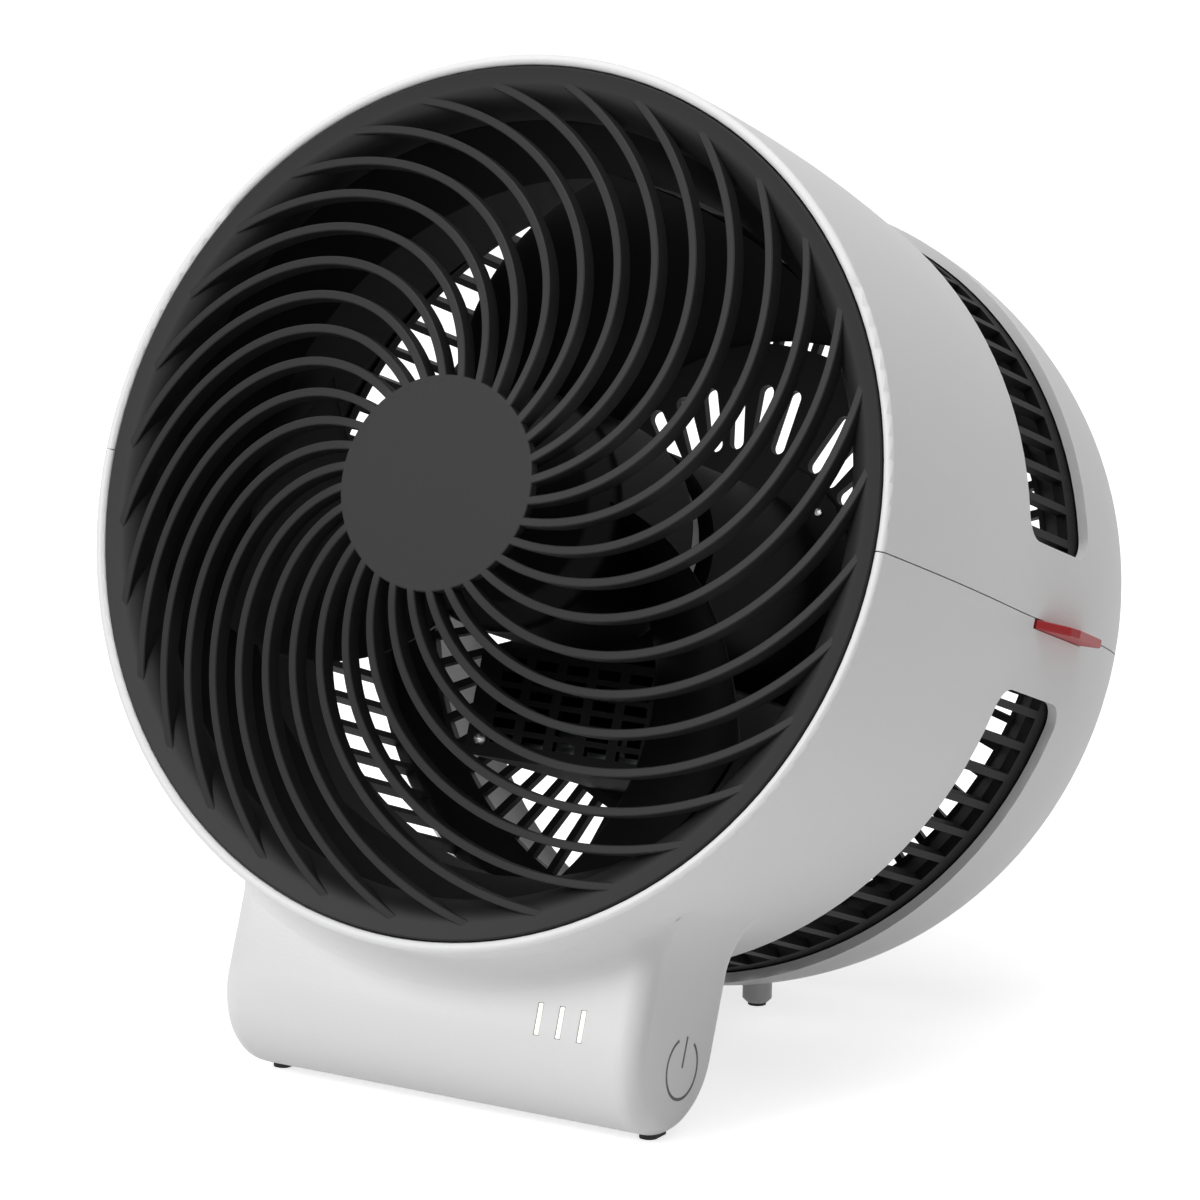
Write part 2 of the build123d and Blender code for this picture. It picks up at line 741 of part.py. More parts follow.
def build_air_duct():
    """Inner duct: a funnel, a straight part round the impeller and a wide rim up to the basket."""
    w = duct_wall
    rim = duct_rim_outer
    step = duct_step_depth
    inner = flare_line(0)
    outer = flare_line(w)
    lip = Line(inner @ 0, outer @ 0)
    rest = Polyline(outer @ 1, (duct_inner + w, -step), (rim, -step), (rim, -duct_rear_depth),
                    (rim - w, -duct_rear_depth), (rim - w, -step - w), (duct_inner, -step - w), inner @ 1)
    duct = revolve(Plane.XZ * make_face(inner + lip + outer + rest), Axis.Z)
    half = boss_radius + duct_notch_gap
    notch = block(duct_inner + w, rim + 5, -half, half,
                  basket_front_depth - boss_length - duct_notch_gap, duct_rear_depth + 1)
    return duct - [Rot(0, 0, angle) * notch for angle in basket_screw_angles]


def build_intake_basket():
    """Intake basket: screw lugs, axial bars behind the side slots and a slotted rear wall."""
    front = basket_front_depth
    rear = basket_rear_depth
    w = basket_wall
    lug_rear = front + basket_lug_thickness
    body = lathe([(basket_inner, front), (basket_outer, front),
                  (basket_outer, rear - basket_corner), (basket_outer - basket_corner, rear),
                  (shaft_radius * 2, rear), (shaft_radius * 2, rear - w),
                  (basket_inner - basket_corner, rear - w), (basket_inner, rear - w - basket_corner)])
    lug = rod(boss_radius, front, lug_rear, basket_screw_radius)
    lug = lug + block(basket_screw_radius, basket_inner + w / 2, -boss_radius, boss_radius, front, lug_rear)
    body = body.fuse(*[Rot(0, 0, angle) * lug for angle in basket_screw_angles])
    bars = int(round(360 / bar_pitch))
    gap = math.radians(bar_pitch) * basket_outer - bar_width
    middle = (basket_outer + basket_inner) / 2
    side = block(middle - w, middle + w, -gap / 2, gap / 2, basket_slot_front, basket_slot_rear)
    inner_half = (math.radians(bar_pitch) * rear_slot_inner - rear_bar_width) / 2
    outer_half = (math.radians(bar_pitch) * rear_slot_outer - rear_bar_width) / 2
    radial = make_face(Polyline((rear_slot_inner, -inner_half), (rear_slot_outer, -outer_half),
                                (rear_slot_outer, outer_half), (rear_slot_inner, inner_half), close=True))
    radial = Pos(0, 0, -rear + w / 2) * extrude(radial, w * 2, both=True)
    hub_length = hub_slot_outer - hub_slot_inner
    hub = Pos((hub_slot_outer + hub_slot_inner) / 2, 0, -rear + w / 2) * extrude(
        SlotOverall(hub_length, hub_slot_width), w * 2, both=True)
    cutters = ring_of(side, bars) + ring_of(radial, bars, bar_pitch / 2)
    cutters = cutters + ring_of(hub, hub_slot_count) + [lever_window(), mirror(lever_window(), Plane.YZ)]
    for angle in basket_screw_angles:
        x, y = polar(basket_screw_radius, angle)
        cutters.append(rod(screw_thread_radius + screw_fit, front - 1, lug_rear + 1, x, y))
    for x, y in motor_screw_places():
        cutters.append(rod(screw_thread_radius + screw_fit, rear - w - 1, rear + 1, x, y))
    return body - cutters


def build_basket_screws():
    """Four screws through the basket's lugs into the lower shell's bosses."""
    front = basket_front_depth - basket_screw_grip
    rear = basket_front_depth + basket_lug_thickness
    return [pan_screw(front, rear, *polar(basket_screw_radius, a)) for a in basket_screw_angles]


# ---------------------------------------------------------------- motor
def motor_screw_places():
    """Places of the screws that hold the motor column to the rear wall."""
    return [polar(motor_screw_circle, 45 + i * 360 / motor_screw_count) for i in range(motor_screw_count)]


def build_motor_base():
    """Motor column: front plate, tube and rear flange."""
    rear = basket_rear_depth - basket_wall
    inner = motor_column_radius - motor_column_wall
    body = lathe([(bearing_tube_outer + seat_fit, motor_front_depth),
                  (motor_column_radius, motor_front_depth),
                  (motor_column_radius, rear - motor_flange_thickness),
                  (motor_flange_radius, rear - motor_flange_thickness), (motor_flange_radius, rear),
                  (inner, rear), (inner, motor_front_depth + motor_plate),
                  (bearing_tube_outer + seat_fit, motor_front_depth + motor_plate)])
    for x, y in motor_screw_places():
        body = body - rod(screw_thread_radius + screw_fit, rear - 4, rear + 1, x, y)
    return body


def build_motor_screws():
    """Screws from behind the rear wall into the motor column's flange."""
    rear = basket_rear_depth
    front = rear - basket_wall - motor_flange_thickness + 0.3
    return [pan_screw(front, rear, x, y) for x, y in motor_screw_places()]


def build_bearing_tube():
    """Tube that carries the stator outside and both bearings inside."""
    front = bearing_front_depth - bearing_width
    rear = motor_front_depth + motor_plate + 4
    collar = bearing_outer + seat_fit
    middle = bearing_outer - 1.5
    return lathe([(collar, front), (bearing_tube_outer, front), (bearing_tube_outer, rear),
                  (collar, rear), (collar, rear - bearing_width), (middle, rear - bearing_width),
                  (middle, front + bearing_width), (collar, front + bearing_width)])


def bearing_at(front):
    """Ball bearing drawn as one grooved ring."""
    bore = shaft_radius + running_fit
    step = 0.4
    mid_in = (bearing_outer - bore) * 0.36 + bore
    mid_out = (bearing_outer - bore) * 0.7 + bore
    rear = front + bearing_width
    return lathe([(bore, front), (mid_in, front), (mid_in, front + step), (mid_out, front + step),
                  (mid_out, front), (bearing_outer, front), (bearing_outer, rear), (mid_out, rear),
                  (mid_out, rear - step), (mid_in, rear - step), (mid_in, rear), (bore, rear)])


def build_bearings():
    """Front and rear bearing in the bearing tube's seats."""
    front = bearing_front_depth - bearing_width
    rear = motor_front_depth + motor_plate + 4 - bearing_width
    return bearing_at(front), bearing_at(rear)


def build_stator_core():
    """Laminated core: a ring with teeth that end in shoes."""
    front = stator_front_depth
    rear = front + stator_core_length
    ring = tube(coil_inner - 0.4, bearing_tube_outer + seat_fit, front, rear)
    tooth = block(coil_inner - 1.5, stator_radius - 1.0, -tooth_width / 2, tooth_width / 2, front, rear)
    shoe_angle = 360 / tooth_count * 0.82
    shoe_face = Plane.XZ * Pos(stator_radius - 0.9, -(front + rear) / 2) * Rectangle(1.8, rear - front)
    shoe = Rot(0, 0, -shoe_angle / 2) * revolve(shoe_face, Axis.Z, shoe_angle)
    return ring.fuse(*ring_of(tooth, tooth_count), *ring_of(shoe, tooth_count))


def build_stator_windings():
    """Coils, one round each tooth."""
    front = stator_front_depth - coil_overhang
    rear = stator_front_depth + stator_core_length + coil_overhang
    half = tooth_width / 2 + 0.05
    hole_front = stator_front_depth - 0.05
    hole_rear = stator_front_depth + stator_core_length + 0.05
    outer_half = half + coil_thickness
    coil = block(coil_inner, coil_outer, -outer_half, outer_half, front, rear)
    coil = fillet(coil.edges().filter_by(Axis.X), 1.6)
    coil = coil - block(coil_inner - 1, coil_outer + 1, -half, half, hole_front, hole_rear)
    slope = 180 / tooth_count
    side = 60.0
    corner = (0, 0)
    wedge = Polyline(corner, polar(side, slope - 1.2), polar(side, -slope + 1.2), close=True)
    room = Pos(0, 0, -rear - 1) * extrude(make_face(wedge), rear - front + 2)
    return ring_of(coil & room, tooth_count)


def build_motor_board():
    """Ring-shaped board between the stator and the motor column's front plate."""
    rear = motor_front_depth
    return tube(motor_board_radius, bearing_tube_outer + seat_fit, rear - board_thickness, rear)


def build_rotor():
    """Turning metal parts: shaft, cup and ring magnet."""
    front = rotor_cup_front_depth
    shaft = rod(shaft_radius, shaft_front_depth, shaft_rear_depth)
    shaft_end = shaft.faces().sort_by(Axis.Z)[0].edges()
    shaft = chamfer(shaft_end, 0.4)
    cup = lathe([(shaft_radius + seat_fit, front), (rotor_cup_outer, front),
                 (rotor_cup_outer, front + rotor_cup_length),
                 (rotor_cup_outer - rotor_cup_wall, front + rotor_cup_length),
                 (rotor_cup_outer - rotor_cup_wall, front + rotor_cup_wall),
                 (shaft_radius + seat_fit, front + rotor_cup_wall)])
    magnet = tube(rotor_inner + magnet_thickness - seat_fit, rotor_inner, stator_front_depth - 1,
                  stator_front_depth + stator_core_length + 1)
    return shaft, cup, magnet


# ---------------------------------------------------------------- impeller
def blade_section(radius, depths):
    """Curved section of a blade at a radius, drawn on a plane square to the blade's span."""
    front, rear = depths
    half_arc = math.radians(blade_sweep / 2) * radius
    camber = 0.13 * (rear - front)
    points = [(half_arc, -front), (half_arc * 0.1, -(front + rear) / 2 - camber), (-half_arc, -rear)]
    centre = Spline(*points)
    t = blade_thickness / 2
    upper = Spline(*[(x, z + t) for x, z in points])
    lower = Spline(*[(x, z - t) for x, z in points])
    first = Line(lower @ 0, upper @ 0)
    last = Line(upper @ 1, lower @ 1)
    plane = Plane(origin=(0, radius, 0), x_dir=(-1, 0, 0), z_dir=(0, 1, 0))
    mid_span = (impeller_hub_radius + impeller_tip_radius) / 2
    turn = blade_phase - 90 - blade_skew * (radius - mid_span)
    return Rot(0, 0, turn) * plane * make_face(upper + last + lower + first)


def build_impeller():
    """Impeller: domed hub cup with its shaft boss and twisted blades."""
    front = impeller_front_depth
    rear = impeller_rear_depth
    w = impeller_hub_wall
    r = impeller_hub_radius
    nut_face = front + w + nut_height + nut_sink
    round_end = front + hub_round_depth
    cup = lathe([(hub_boss_radius, front + w * 0.2), (r - 7, front + w * 0.6), (r - 2, front + 4.5),
                 (r, round_end), (r, rear), (r - w, rear), (r - w, round_end + w * 0.4), (r - 8, front + w * 1.9),
                 (hub_boss_radius, front + w * 1.5)])
    boss = lathe([(shaft_radius + seat_fit, nut_face), (nut_radius + 0.8, nut_face),
                  (nut_radius + 0.8, front), (hub_boss_radius + 1, front),
                  (hub_boss_radius + 1, rotor_cup_front_depth), (shaft_radius + seat_fit, rotor_cup_front_depth)])
    root = blade_section(r - w * 0.5, blade_root_depth)
    middle_depth = ((blade_root_depth[0] + blade_tip_depth[0]) / 2 - 1.0,
                    (blade_root_depth[1] + blade_tip_depth[1]) / 2 + 0.5)
    middle = blade_section((r + impeller_tip_radius) / 2, middle_depth)
    tip = blade_section(impeller_tip_radius + 4, blade_tip_depth)
    blade = loft([root, middle, tip])
    room = tube(impeller_tip_radius, r - w * 0.5, front, rear)
    blade = blade & room
    rib = block(hub_boss_radius, r - w * 0.6, -hub_rib_width / 2, hub_rib_width / 2,
                round_end + w, rotor_cup_front_depth)
    ribs = ring_of(rib, hub_rib_count, 30)
    return cup.fuse(boss, *ribs, *ring_of(blade, blade_count))


def build_impeller_nut():
    """Hexagon nut that holds the impeller on its shaft."""
    rear = impeller_front_depth + impeller_hub_wall + nut_height + nut_sink
    hexagon = RegularPolygon(nut_radius, 6)
    nut = Pos(0, 0, -rear) * extrude(hexagon, nut_height)
    return nut - rod(shaft_radius + seat_fit, rear - nut_height - 1, rear + 1)


# ---------------------------------------------------------------- driver box
def build_driver_box():
    """Open box under the motor column with its board posts."""
    half = driver_width / 2
    top = driver_top
    bottom = driver_top - driver_height
    front = driver_front_depth + vent_cover_thickness
    rear = basket_rear_depth - basket_wall
    w = driver_wall
    body = block(-half, half, bottom, top, front, rear)
    body = fillet(body.edges().filter_by(Axis.Z), driver_corner)
    body = body - block(-half + w, half - w, bottom + w, top - w, front - 1, rear - w)
    for x, y in driver_screw_places():
        body = body + rod(driver_post_radius, front, front + driver_post_length, x, y)
        body = body - rod(screw_thread_radius + screw_fit, front - 1, front + driver_post_length - 2, x, y)
    rail_half = driver_rail_width / 2
    for x in (-half + driver_rail_side, half - driver_rail_side):
        body = body + block(x - rail_half, x + rail_half, bottom + w - 0.2, bottom + w + driver_rail_height,
                            front + 14, rear - 10)
    return body - rod(motor_flange_radius + 0.3, rear - motor_flange_thickness - 0.4, rear + 1)


def driver_screw_places():
    """Places of the vent cover's two screws."""
    x = driver_width / 2 - driver_wall - boss_radius
    y = driver_top - driver_height + driver_wall + boss_radius
    return [(-x, y), (x, y)]


def build_vent_cover():
    """Cover of the driver box with its grid of vent holes."""
    half = driver_width / 2
    bottom = driver_top - driver_height
    front = driver_front_depth
    rear = front + vent_cover_thickness
    plate = block(-half, half, bottom, driver_top, front, rear)
    plate = fillet(plate.edges().filter_by(Axis.Z), driver_corner)
    first_y = driver_top - vent_below - vent_height / 2
    holes = []
    for column in range(vent_columns):
        for row in range(vent_rows):
            x = vent_side + (column - (vent_columns - 1) / 2) * vent_pitch_x
            y = first_y - row * vent_pitch_y
            holes.append(block(x - vent_width / 2, x + vent_width / 2, y - vent_height / 2,
                               y + vent_height / 2, front - 1, rear + 1))
    for x, y in driver_screw_places():
        holes.append(rod(screw_thread_radius + screw_fit, front - 1, rear + 1, x, y))
    return plate - holes


def build_vent_cover_screws():
    """Screws of the vent cover."""
    front = driver_front_depth
    return [pan_screw(front, front + 8, x, y, head_at_rear=False) for x, y in driver_screw_places()]


def build_driver_board():
    """Motor driver board with a few tall parts, lying on the box's rails."""
    half = driver_width / 2 - driver_wall - 1.0
    low = driver_top - driver_height + driver_wall + driver_rail_height
    front = driver_front_depth + vent_cover_thickness + 12
    rear = basket_rear_depth - basket_wall - 8
    board = block(-half, half, low, low + board_thickness, front, rear)
    base = low + board_thickness
    parts = [block(-20, -8, base, base + 8, front + 8, front + 24),
             block(-2, 4, base, base + 6, front + 10, front + 20),
             block(10, 20, base, base + 5, front + 30, front + 42)]
    cans = [Pos(14, base + 5, -(front + 14)) * Rot(90, 0, 0) * Cylinder(5, 10),
            Pos(-14, base + 4, -(front + 38)) * Rot(90, 0, 0) * Cylinder(4, 8)]
    return board.fuse(*parts, *cans)


# ---------------------------------------------------------------- foot internals
def build_foot_cover():
    """Curved rear cover of the foot with its screw holes and inlet hole."""
    rear = foot_rear_depth
    cover = (foot_slab() - foot_slab(foot_cover_thickness)) & foot_cover_prism(0)
    for x, y in foot_screw_places():
        cover = cover - rod(screw_thread_radius + screw_fit, rear - 5, rear + 1, x, y)
    return cover - inlet_block(inlet_margin, inlet_length, -inlet_sink - 5)


def build_foot_cover_screws():
    """Screws of the foot cover."""
    rear = foot_rear_depth
    front = rear - foot_cover_thickness - foot_boss_length + 3
    return [pan_screw(front, rear, x, y) for x, y in foot_screw_places()]


def inlet_block(grow, front, rear):
    """Block of the power inlet's section, between two distances in front of its mouth."""
    mouth = foot_rear_depth - inlet_sink
    return block(inlet_side - inlet_width / 2 - grow, inlet_side + inlet_width / 2 + grow,
                 inlet_up - inlet_height / 2 - grow, inlet_up + inlet_height / 2 + grow,
                 mouth - front, mouth - rear)


def build_power_inlet():
    """Barrel socket with its centre pin, let into the foot cover."""
    mouth = foot_rear_depth - inlet_sink
    body = inlet_block(0, inlet_length, 0)
    bore = rod(inlet_bore, mouth - inlet_bore_depth, mouth + 1, inlet_side, inlet_up)
    pin = rod(inlet_pin, mouth - inlet_bore_depth - 1, mouth - 1.0, inlet_side, inlet_up)
    return (body - bore) + pin


def build_control_board():
    """Control board behind the foot's front wall with its chip and connector."""
    front = board_depth
    rear = front + board_thickness
    board = block(board_left, board_right, board_bottom, board_top, front, rear)
    for x, y in board_screw_places():
        board = board - rod(screw_thread_radius + screw_fit, front - 1, rear + 1, x, y)
    middle_y = (board_top + board_bottom) / 2
    chip = block(6, 14, middle_y - 4, middle_y + 4, rear, rear + board_thickness)
    plug = block(-16, -6, middle_y - 3, middle_y + 3, rear, rear + 6)
    return board.fuse(chip, plug)


def build_control_board_screws():
    """Screws of the control board."""
    rear = board_depth + board_thickness
    front = foot_front_depth + foot_wall + 0.6
    return [pan_screw(front, rear, x, y) for x, y in board_screw_places()]


def build_lights():
    """Light bars in the foot's front wall and the light chips behind them."""
    lenses = []
    chips = []
    skin = foot_slab()
    seat = foot_front_depth + foot_wall + lens_seat_gap
    for x, y in light_places():
        lens = block(x - light_width / 2, x + light_width / 2, y - light_height / 2,
                     y + light_height / 2, foot_front_depth - 1, seat)
        rim = block(x - light_width / 2 - lens_rim, x + light_width / 2 + lens_rim,
                    y - light_height / 2 - lens_rim, y + light_height / 2 + lens_rim,
                    seat, seat + lens_rim)
        lenses.append((lens & skin) + rim)
        chips.append(block(x - led_width / 2, x + led_width / 2, y - led_length / 2, y + led_length / 2,
                           board_depth - led_height, board_depth))
    return lenses, chips


def build_touch_sensor():
    """Round touch sensor glued behind the foot's right side wall."""
    x = foot_half_width - foot_wall - sensor_thickness / 2
    return Pos(x, symbol_up, -symbol_back) * Rot(0, 90, 0) * Cylinder(sensor_radius, sensor_thickness)


# ---------------------------------------------------------------- release levers
def build_lever():
    """Right-hand release lever: red fin outside, flat arm through the notch and eye on the pin."""
    top = -lever_gap
    wall = lever_outline()
    outline = Polyline(*[(x, -d) for x, d in wall], close=True)
    face = make_face(outline)
    corners = [v for v in face.vertices() if v.X > lever_reach - 2 and v.Y < -lever_rear_depth + 1]
    face = fillet(corners, lever_corner)
    plate = extrude(face, lever_thickness)
    # the sketch is drawn in (x, -depth); this turn lays it into the parting plane
    plate = Pos(0, top, 0) * Rot(90, 0, 0) * plate
    eye = Pos(pivot_side, top - lever_thickness / 2, -pivot_depth) * Rot(90, 0, 0) * Cylinder(
        pivot_eye_radius, lever_thickness)
    hole = Pos(pivot_side, top - lever_thickness / 2, -pivot_depth) * Rot(90, 0, 0) * Cylinder(
        pin_radius + running_fit, lever_thickness + 2)
    return plate + eye - hole


def build_latch_pin():
    """Right-hand pivot pin."""
    top = -lever_gap
    length = lever_thickness + lever_gap + pin_length - 1
    return Pos(pivot_side, top - length / 2, -pivot_depth) * Rot(90, 0, 0) * Cylinder(pin_radius, length)


# ---------------------------------------------------------------- assembly
def build_nodes():
    """Every node of the fan in the fan frame, by name."""
    nodes = {}
    nodes["lower_shell"], nodes["upper_shell"] = build_shells()
    nodes["front_grille"] = build_front_grille()
    nodes["air_duct"] = build_air_duct()
    nodes["intake_basket"] = build_intake_basket()
    nodes["basket_screws"] = build_basket_screws()
    nodes["motor_base"] = build_motor_base()
    nodes["motor_screws"] = build_motor_screws()
    nodes["bearing_tube"] = build_bearing_tube()
    nodes["front_bearing"], nodes["rear_bearing"] = build_bearings()
    nodes["stator_core"] = build_stator_core()
    nodes["stator_windings"] = build_stator_windings()
    nodes["motor_board"] = build_motor_board()
    nodes["rotor_shaft"], nodes["rotor_cup"], nodes["rotor_magnet"] = build_rotor()
    nodes["impeller"] = build_impeller()
    nodes["impeller_nut"] = build_impeller_nut()
    nodes["driver_box"] = build_driver_box()
    nodes["vent_cover"] = build_vent_cover()
    nodes["vent_cover_screws"] = build_vent_cover_screws()
    nodes["driver_board"] = build_driver_board()
    nodes["foot_cover"] = build_foot_cover()
    nodes["foot_cover_screws"] = build_foot_cover_screws()
    nodes["power_inlet"] = build_power_inlet()
    nodes["control_board"] = build_control_board()
    nodes["control_board_screws"] = build_control_board_screws()
    nodes["indicator_lenses"], nodes["indicator_leds"] = build_lights()
    nodes["touch_sensor"] = build_touch_sensor()
    nodes["power_symbol"] = on_side_face(symbol_shape(symbol_depth))
    nodes["latch_right"] = build_lever()
    nodes["latch_left"] = mirror(build_lever(), Plane.YZ)
    nodes["latch_pins"] = [build_latch_pin(), mirror(build_latch_pin(), Plane.YZ)]
    nodes["front_pads"] = [front_pad(-front_pad_side), front_pad(front_pad_side)]
    nodes["rear_pads"] = [rear_pad(-stub_side), rear_pad(stub_side)]
    return nodes


def world_nodes():
    """Every node in the world frame, with the origin under the middle of the whole box."""
    placed = {}
    for name, shape in build_nodes().items():
        if isinstance(shape, list):
            shape = Compound(children=[Part(s.wrapped) if not isinstance(s, Part) else s for s in shape])
        placed[name] = to_world(shape)
    boxes = [shape.bounding_box() for shape in placed.values()]
    middle = (min(b.min.Y for b in boxes) + max(b.max.Y for b in boxes)) / 2
    return {name: Pos(0, -middle, 0) * shape for name, shape in placed.items()}, middle


parts, box_middle = world_nodes()
os.makedirs("parts", exist_ok=True)
for name, shape in parts.items():
    shape.label = name
    export_step(shape, f"parts/{name}.step")
print(f"fan axis at Y = {-box_middle:.3f}")
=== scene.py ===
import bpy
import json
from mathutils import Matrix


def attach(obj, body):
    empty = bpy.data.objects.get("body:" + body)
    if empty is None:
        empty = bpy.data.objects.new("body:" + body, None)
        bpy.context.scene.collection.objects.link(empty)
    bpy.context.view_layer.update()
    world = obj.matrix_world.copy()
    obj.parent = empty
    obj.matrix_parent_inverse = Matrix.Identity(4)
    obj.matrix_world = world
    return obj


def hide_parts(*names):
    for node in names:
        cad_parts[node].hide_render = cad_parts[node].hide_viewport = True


bl_info = {
    "name": "Air circulator fan",
    "version": (1, 0, 0),
    "blender": (4, 5, 0),
    "location": "3D View > Sidebar > Fan",
    "description": "Finishes of a tilted desktop air circulator, with its grille, impeller, levers and studio",
    "category": "Object",
}

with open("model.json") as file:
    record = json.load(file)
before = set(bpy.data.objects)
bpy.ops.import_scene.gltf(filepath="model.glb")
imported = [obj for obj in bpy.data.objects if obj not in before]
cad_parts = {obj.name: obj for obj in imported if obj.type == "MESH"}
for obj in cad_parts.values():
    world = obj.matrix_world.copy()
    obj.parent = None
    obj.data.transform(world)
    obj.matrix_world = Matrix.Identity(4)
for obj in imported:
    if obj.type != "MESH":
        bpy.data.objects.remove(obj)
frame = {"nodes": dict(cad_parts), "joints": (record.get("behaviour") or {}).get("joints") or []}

import json
import math

import bmesh
import bpy
import numpy as np
from bpy.props import FloatProperty, FloatVectorProperty, IntProperty, PointerProperty
from mathutils import Matrix, Vector
from mathutils.geometry import tessellate_polygon

MM = 0.001  # metres in a millimetre
SAME_POINT = 1e-7  # points closer than this, in metres, are one
FULL_TURN = 2 * math.pi


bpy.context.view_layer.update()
SPIN = next(j for j in frame["joints"] if j["name"] == "fan_spin")
SPIN_DEPTH = 60.0  # the spin joint's point lies this far behind the rim plane, in mm
OUT = np.array(SPIN["axis"], float) / np.linalg.norm(SPIN["axis"])
RIGHT = np.array([1.0, 0.0, 0.0])
UP = np.cross(OUT, RIGHT)
RIM = np.array(SPIN["pos_m"], float) + OUT * SPIN_DEPTH * MM


# ------------------------------------------------------------------ mesh helpers
def place(x, up, depth):
    """Row-frame points in metres from fan-frame millimetres: sideways, up along the rim plane, behind it."""
    x, up, depth = np.broadcast_arrays(np.asarray(x, float), up, depth)
    return RIM + MM * (x[..., None] * RIGHT + up[..., None] * UP - depth[..., None] * OUT)


def turned(radius, depth, angle):
    """Point at a radius, depth and angle (radians, from +X towards up) about the fan axis."""
    return place(radius * np.cos(angle), radius * np.sin(angle), depth)


def even_angles(count):
    """Angles of a full turn in equal steps, without its end."""
    return np.linspace(0, FULL_TURN, count, endpoint=False)


def grid_quads(rows, columns, wrap_rows=False, wrap_columns=False):
    """Quads of a grid of points: each joins four neighbours, and a wrapped side joins its ends."""
    i = np.arange(rows if wrap_rows else rows - 1)
    j = np.arange(columns if wrap_columns else columns - 1)
    a, b = np.meshgrid(i, j, indexing="ij")
    a2, b2 = (a + 1) % rows, (b + 1) % columns
    quads = np.stack([a * columns + b, a2 * columns + b, a2 * columns + b2, a * columns + b2], -1)
    return quads.reshape(-1, 4)


def tube_faces(rows, columns):
    """Faces of a closed tube of rows sections with columns points each, with both ends capped."""
    faces = [tuple(q) for q in grid_quads(rows, columns, wrap_columns=True).tolist()]
    faces.append(tuple(range(columns)))
    faces.append(tuple(range((rows - 1) * columns, rows * columns))[::-1])
    return faces


def repeated(points, faces, count):
    """Copies of a mesh spread evenly about the fan axis, as one list of points and faces."""
    local = points - RIM
    all_points, all_faces = [], []
    for k in range(count):
        spin = np.array(Matrix.Rotation(k * (FULL_TURN / count), 3, Vector(OUT)))
        all_points.append(local @ spin.T + RIM)
        base = k * len(points)
        all_faces.extend(tuple(base + v for v in face) for face in faces)
    return np.concatenate(all_points), all_faces


def joined(*meshes):
    """Several (points, faces) pairs as one."""
    all_points, all_faces, base = [], [], 0
    for points, faces in meshes:
        flat = np.asarray(points).reshape(-1, 3)
        all_points.append(flat)
        all_faces.extend(tuple(base + int(v) for v in face) for face in faces)
        base += len(flat)
    return np.concatenate(all_points), all_faces


def make_piece(name, points, faces, finish, body, slot, replaces=(), sharp=38.0):
    """Mesh piece with outward faces, smooth but for edges sharper than an angle, riding on a body."""
    mesh = bpy.data.meshes.new(name)
    mesh.from_pydata(np.asarray(points).reshape(-1, 3).tolist(), [], faces)
    work = bmesh.new()
    work.from_mesh(mesh)
    bmesh.ops.remove_doubles(work, verts=work.verts, dist=SAME_POINT)
    bmesh.ops.recalc_face_normals(work, faces=work.faces)
    work.to_mesh(mesh)
    work.free()
    mesh.shade_smooth()
    mesh.set_sharp_from_angle(angle=math.radians(sharp))
    piece = bpy.data.objects.new(name, mesh)
    bpy.context.scene.collection.objects.link(piece)
    mesh.materials.append(finish)
    weighted = piece.modifiers.new("even_normals", "WEIGHTED_NORMAL")
    weighted.keep_sharp = True
    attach(piece, body)
    if replaces:
        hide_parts(*replaces)


def lathe(profile, segments):
    """Closed solid of revolution: a closed (radius, depth) profile turned about the fan axis."""
    profile = np.asarray(profile, float)
    angle = even_angles(segments)[:, None]
    points = turned(profile[None, :, 0], profile[None, :, 1], angle)
    faces = grid_quads(segments, len(profile), True, True).tolist()
    return points.reshape(-1, 3), faces


def rounded(corners, radii, steps=4):
    """Closed 2D outline with each corner replaced by an arc-like curve of its radius."""
    corners = np.asarray(corners, float)
    before = np.roll(corners, 1, axis=0) - corners
    after = np.roll(corners, -1, axis=0) - corners
    before /= np.linalg.norm(before, axis=1, keepdims=True)
    after /= np.linalg.norm(after, axis=1, keepdims=True)
    radii = np.broadcast_to(np.asarray(radii, float), len(corners))
    half = np.arccos(np.clip((before * after).sum(1), -1, 1)) / 2
    reach = (radii / np.tan(half))[:, None]
    start, end = corners + before * reach, corners + after * reach
    t = np.linspace(0, 1, steps + 1)[None, :, None]
    curve = (1 - t) ** 2 * start[:, None] + 2 * t * (1 - t) * corners[:, None] + t ** 2 * end[:, None]
    return curve.reshape(-1, 2)


# ------------------------------------------------------------------ material helpers
def seen_ray(tree, rays):
    """1 for a camera, glossy or transmission ray, else 0."""
    first = tree.nodes.new("ShaderNodeMath")
    first.operation = "MAXIMUM"
    tree.links.new(rays.outputs["Is Camera Ray"], first.inputs[0])
    tree.links.new(rays.outputs["Is Glossy Ray"], first.inputs[1])
    second = tree.nodes.new("ShaderNodeMath")
    second.operation = "MAXIMUM"
    tree.links.new(first.outputs[0], second.inputs[0])
    tree.links.new(rays.outputs["Is Transmission Ray"], second.inputs[1])
    return second.outputs[0]


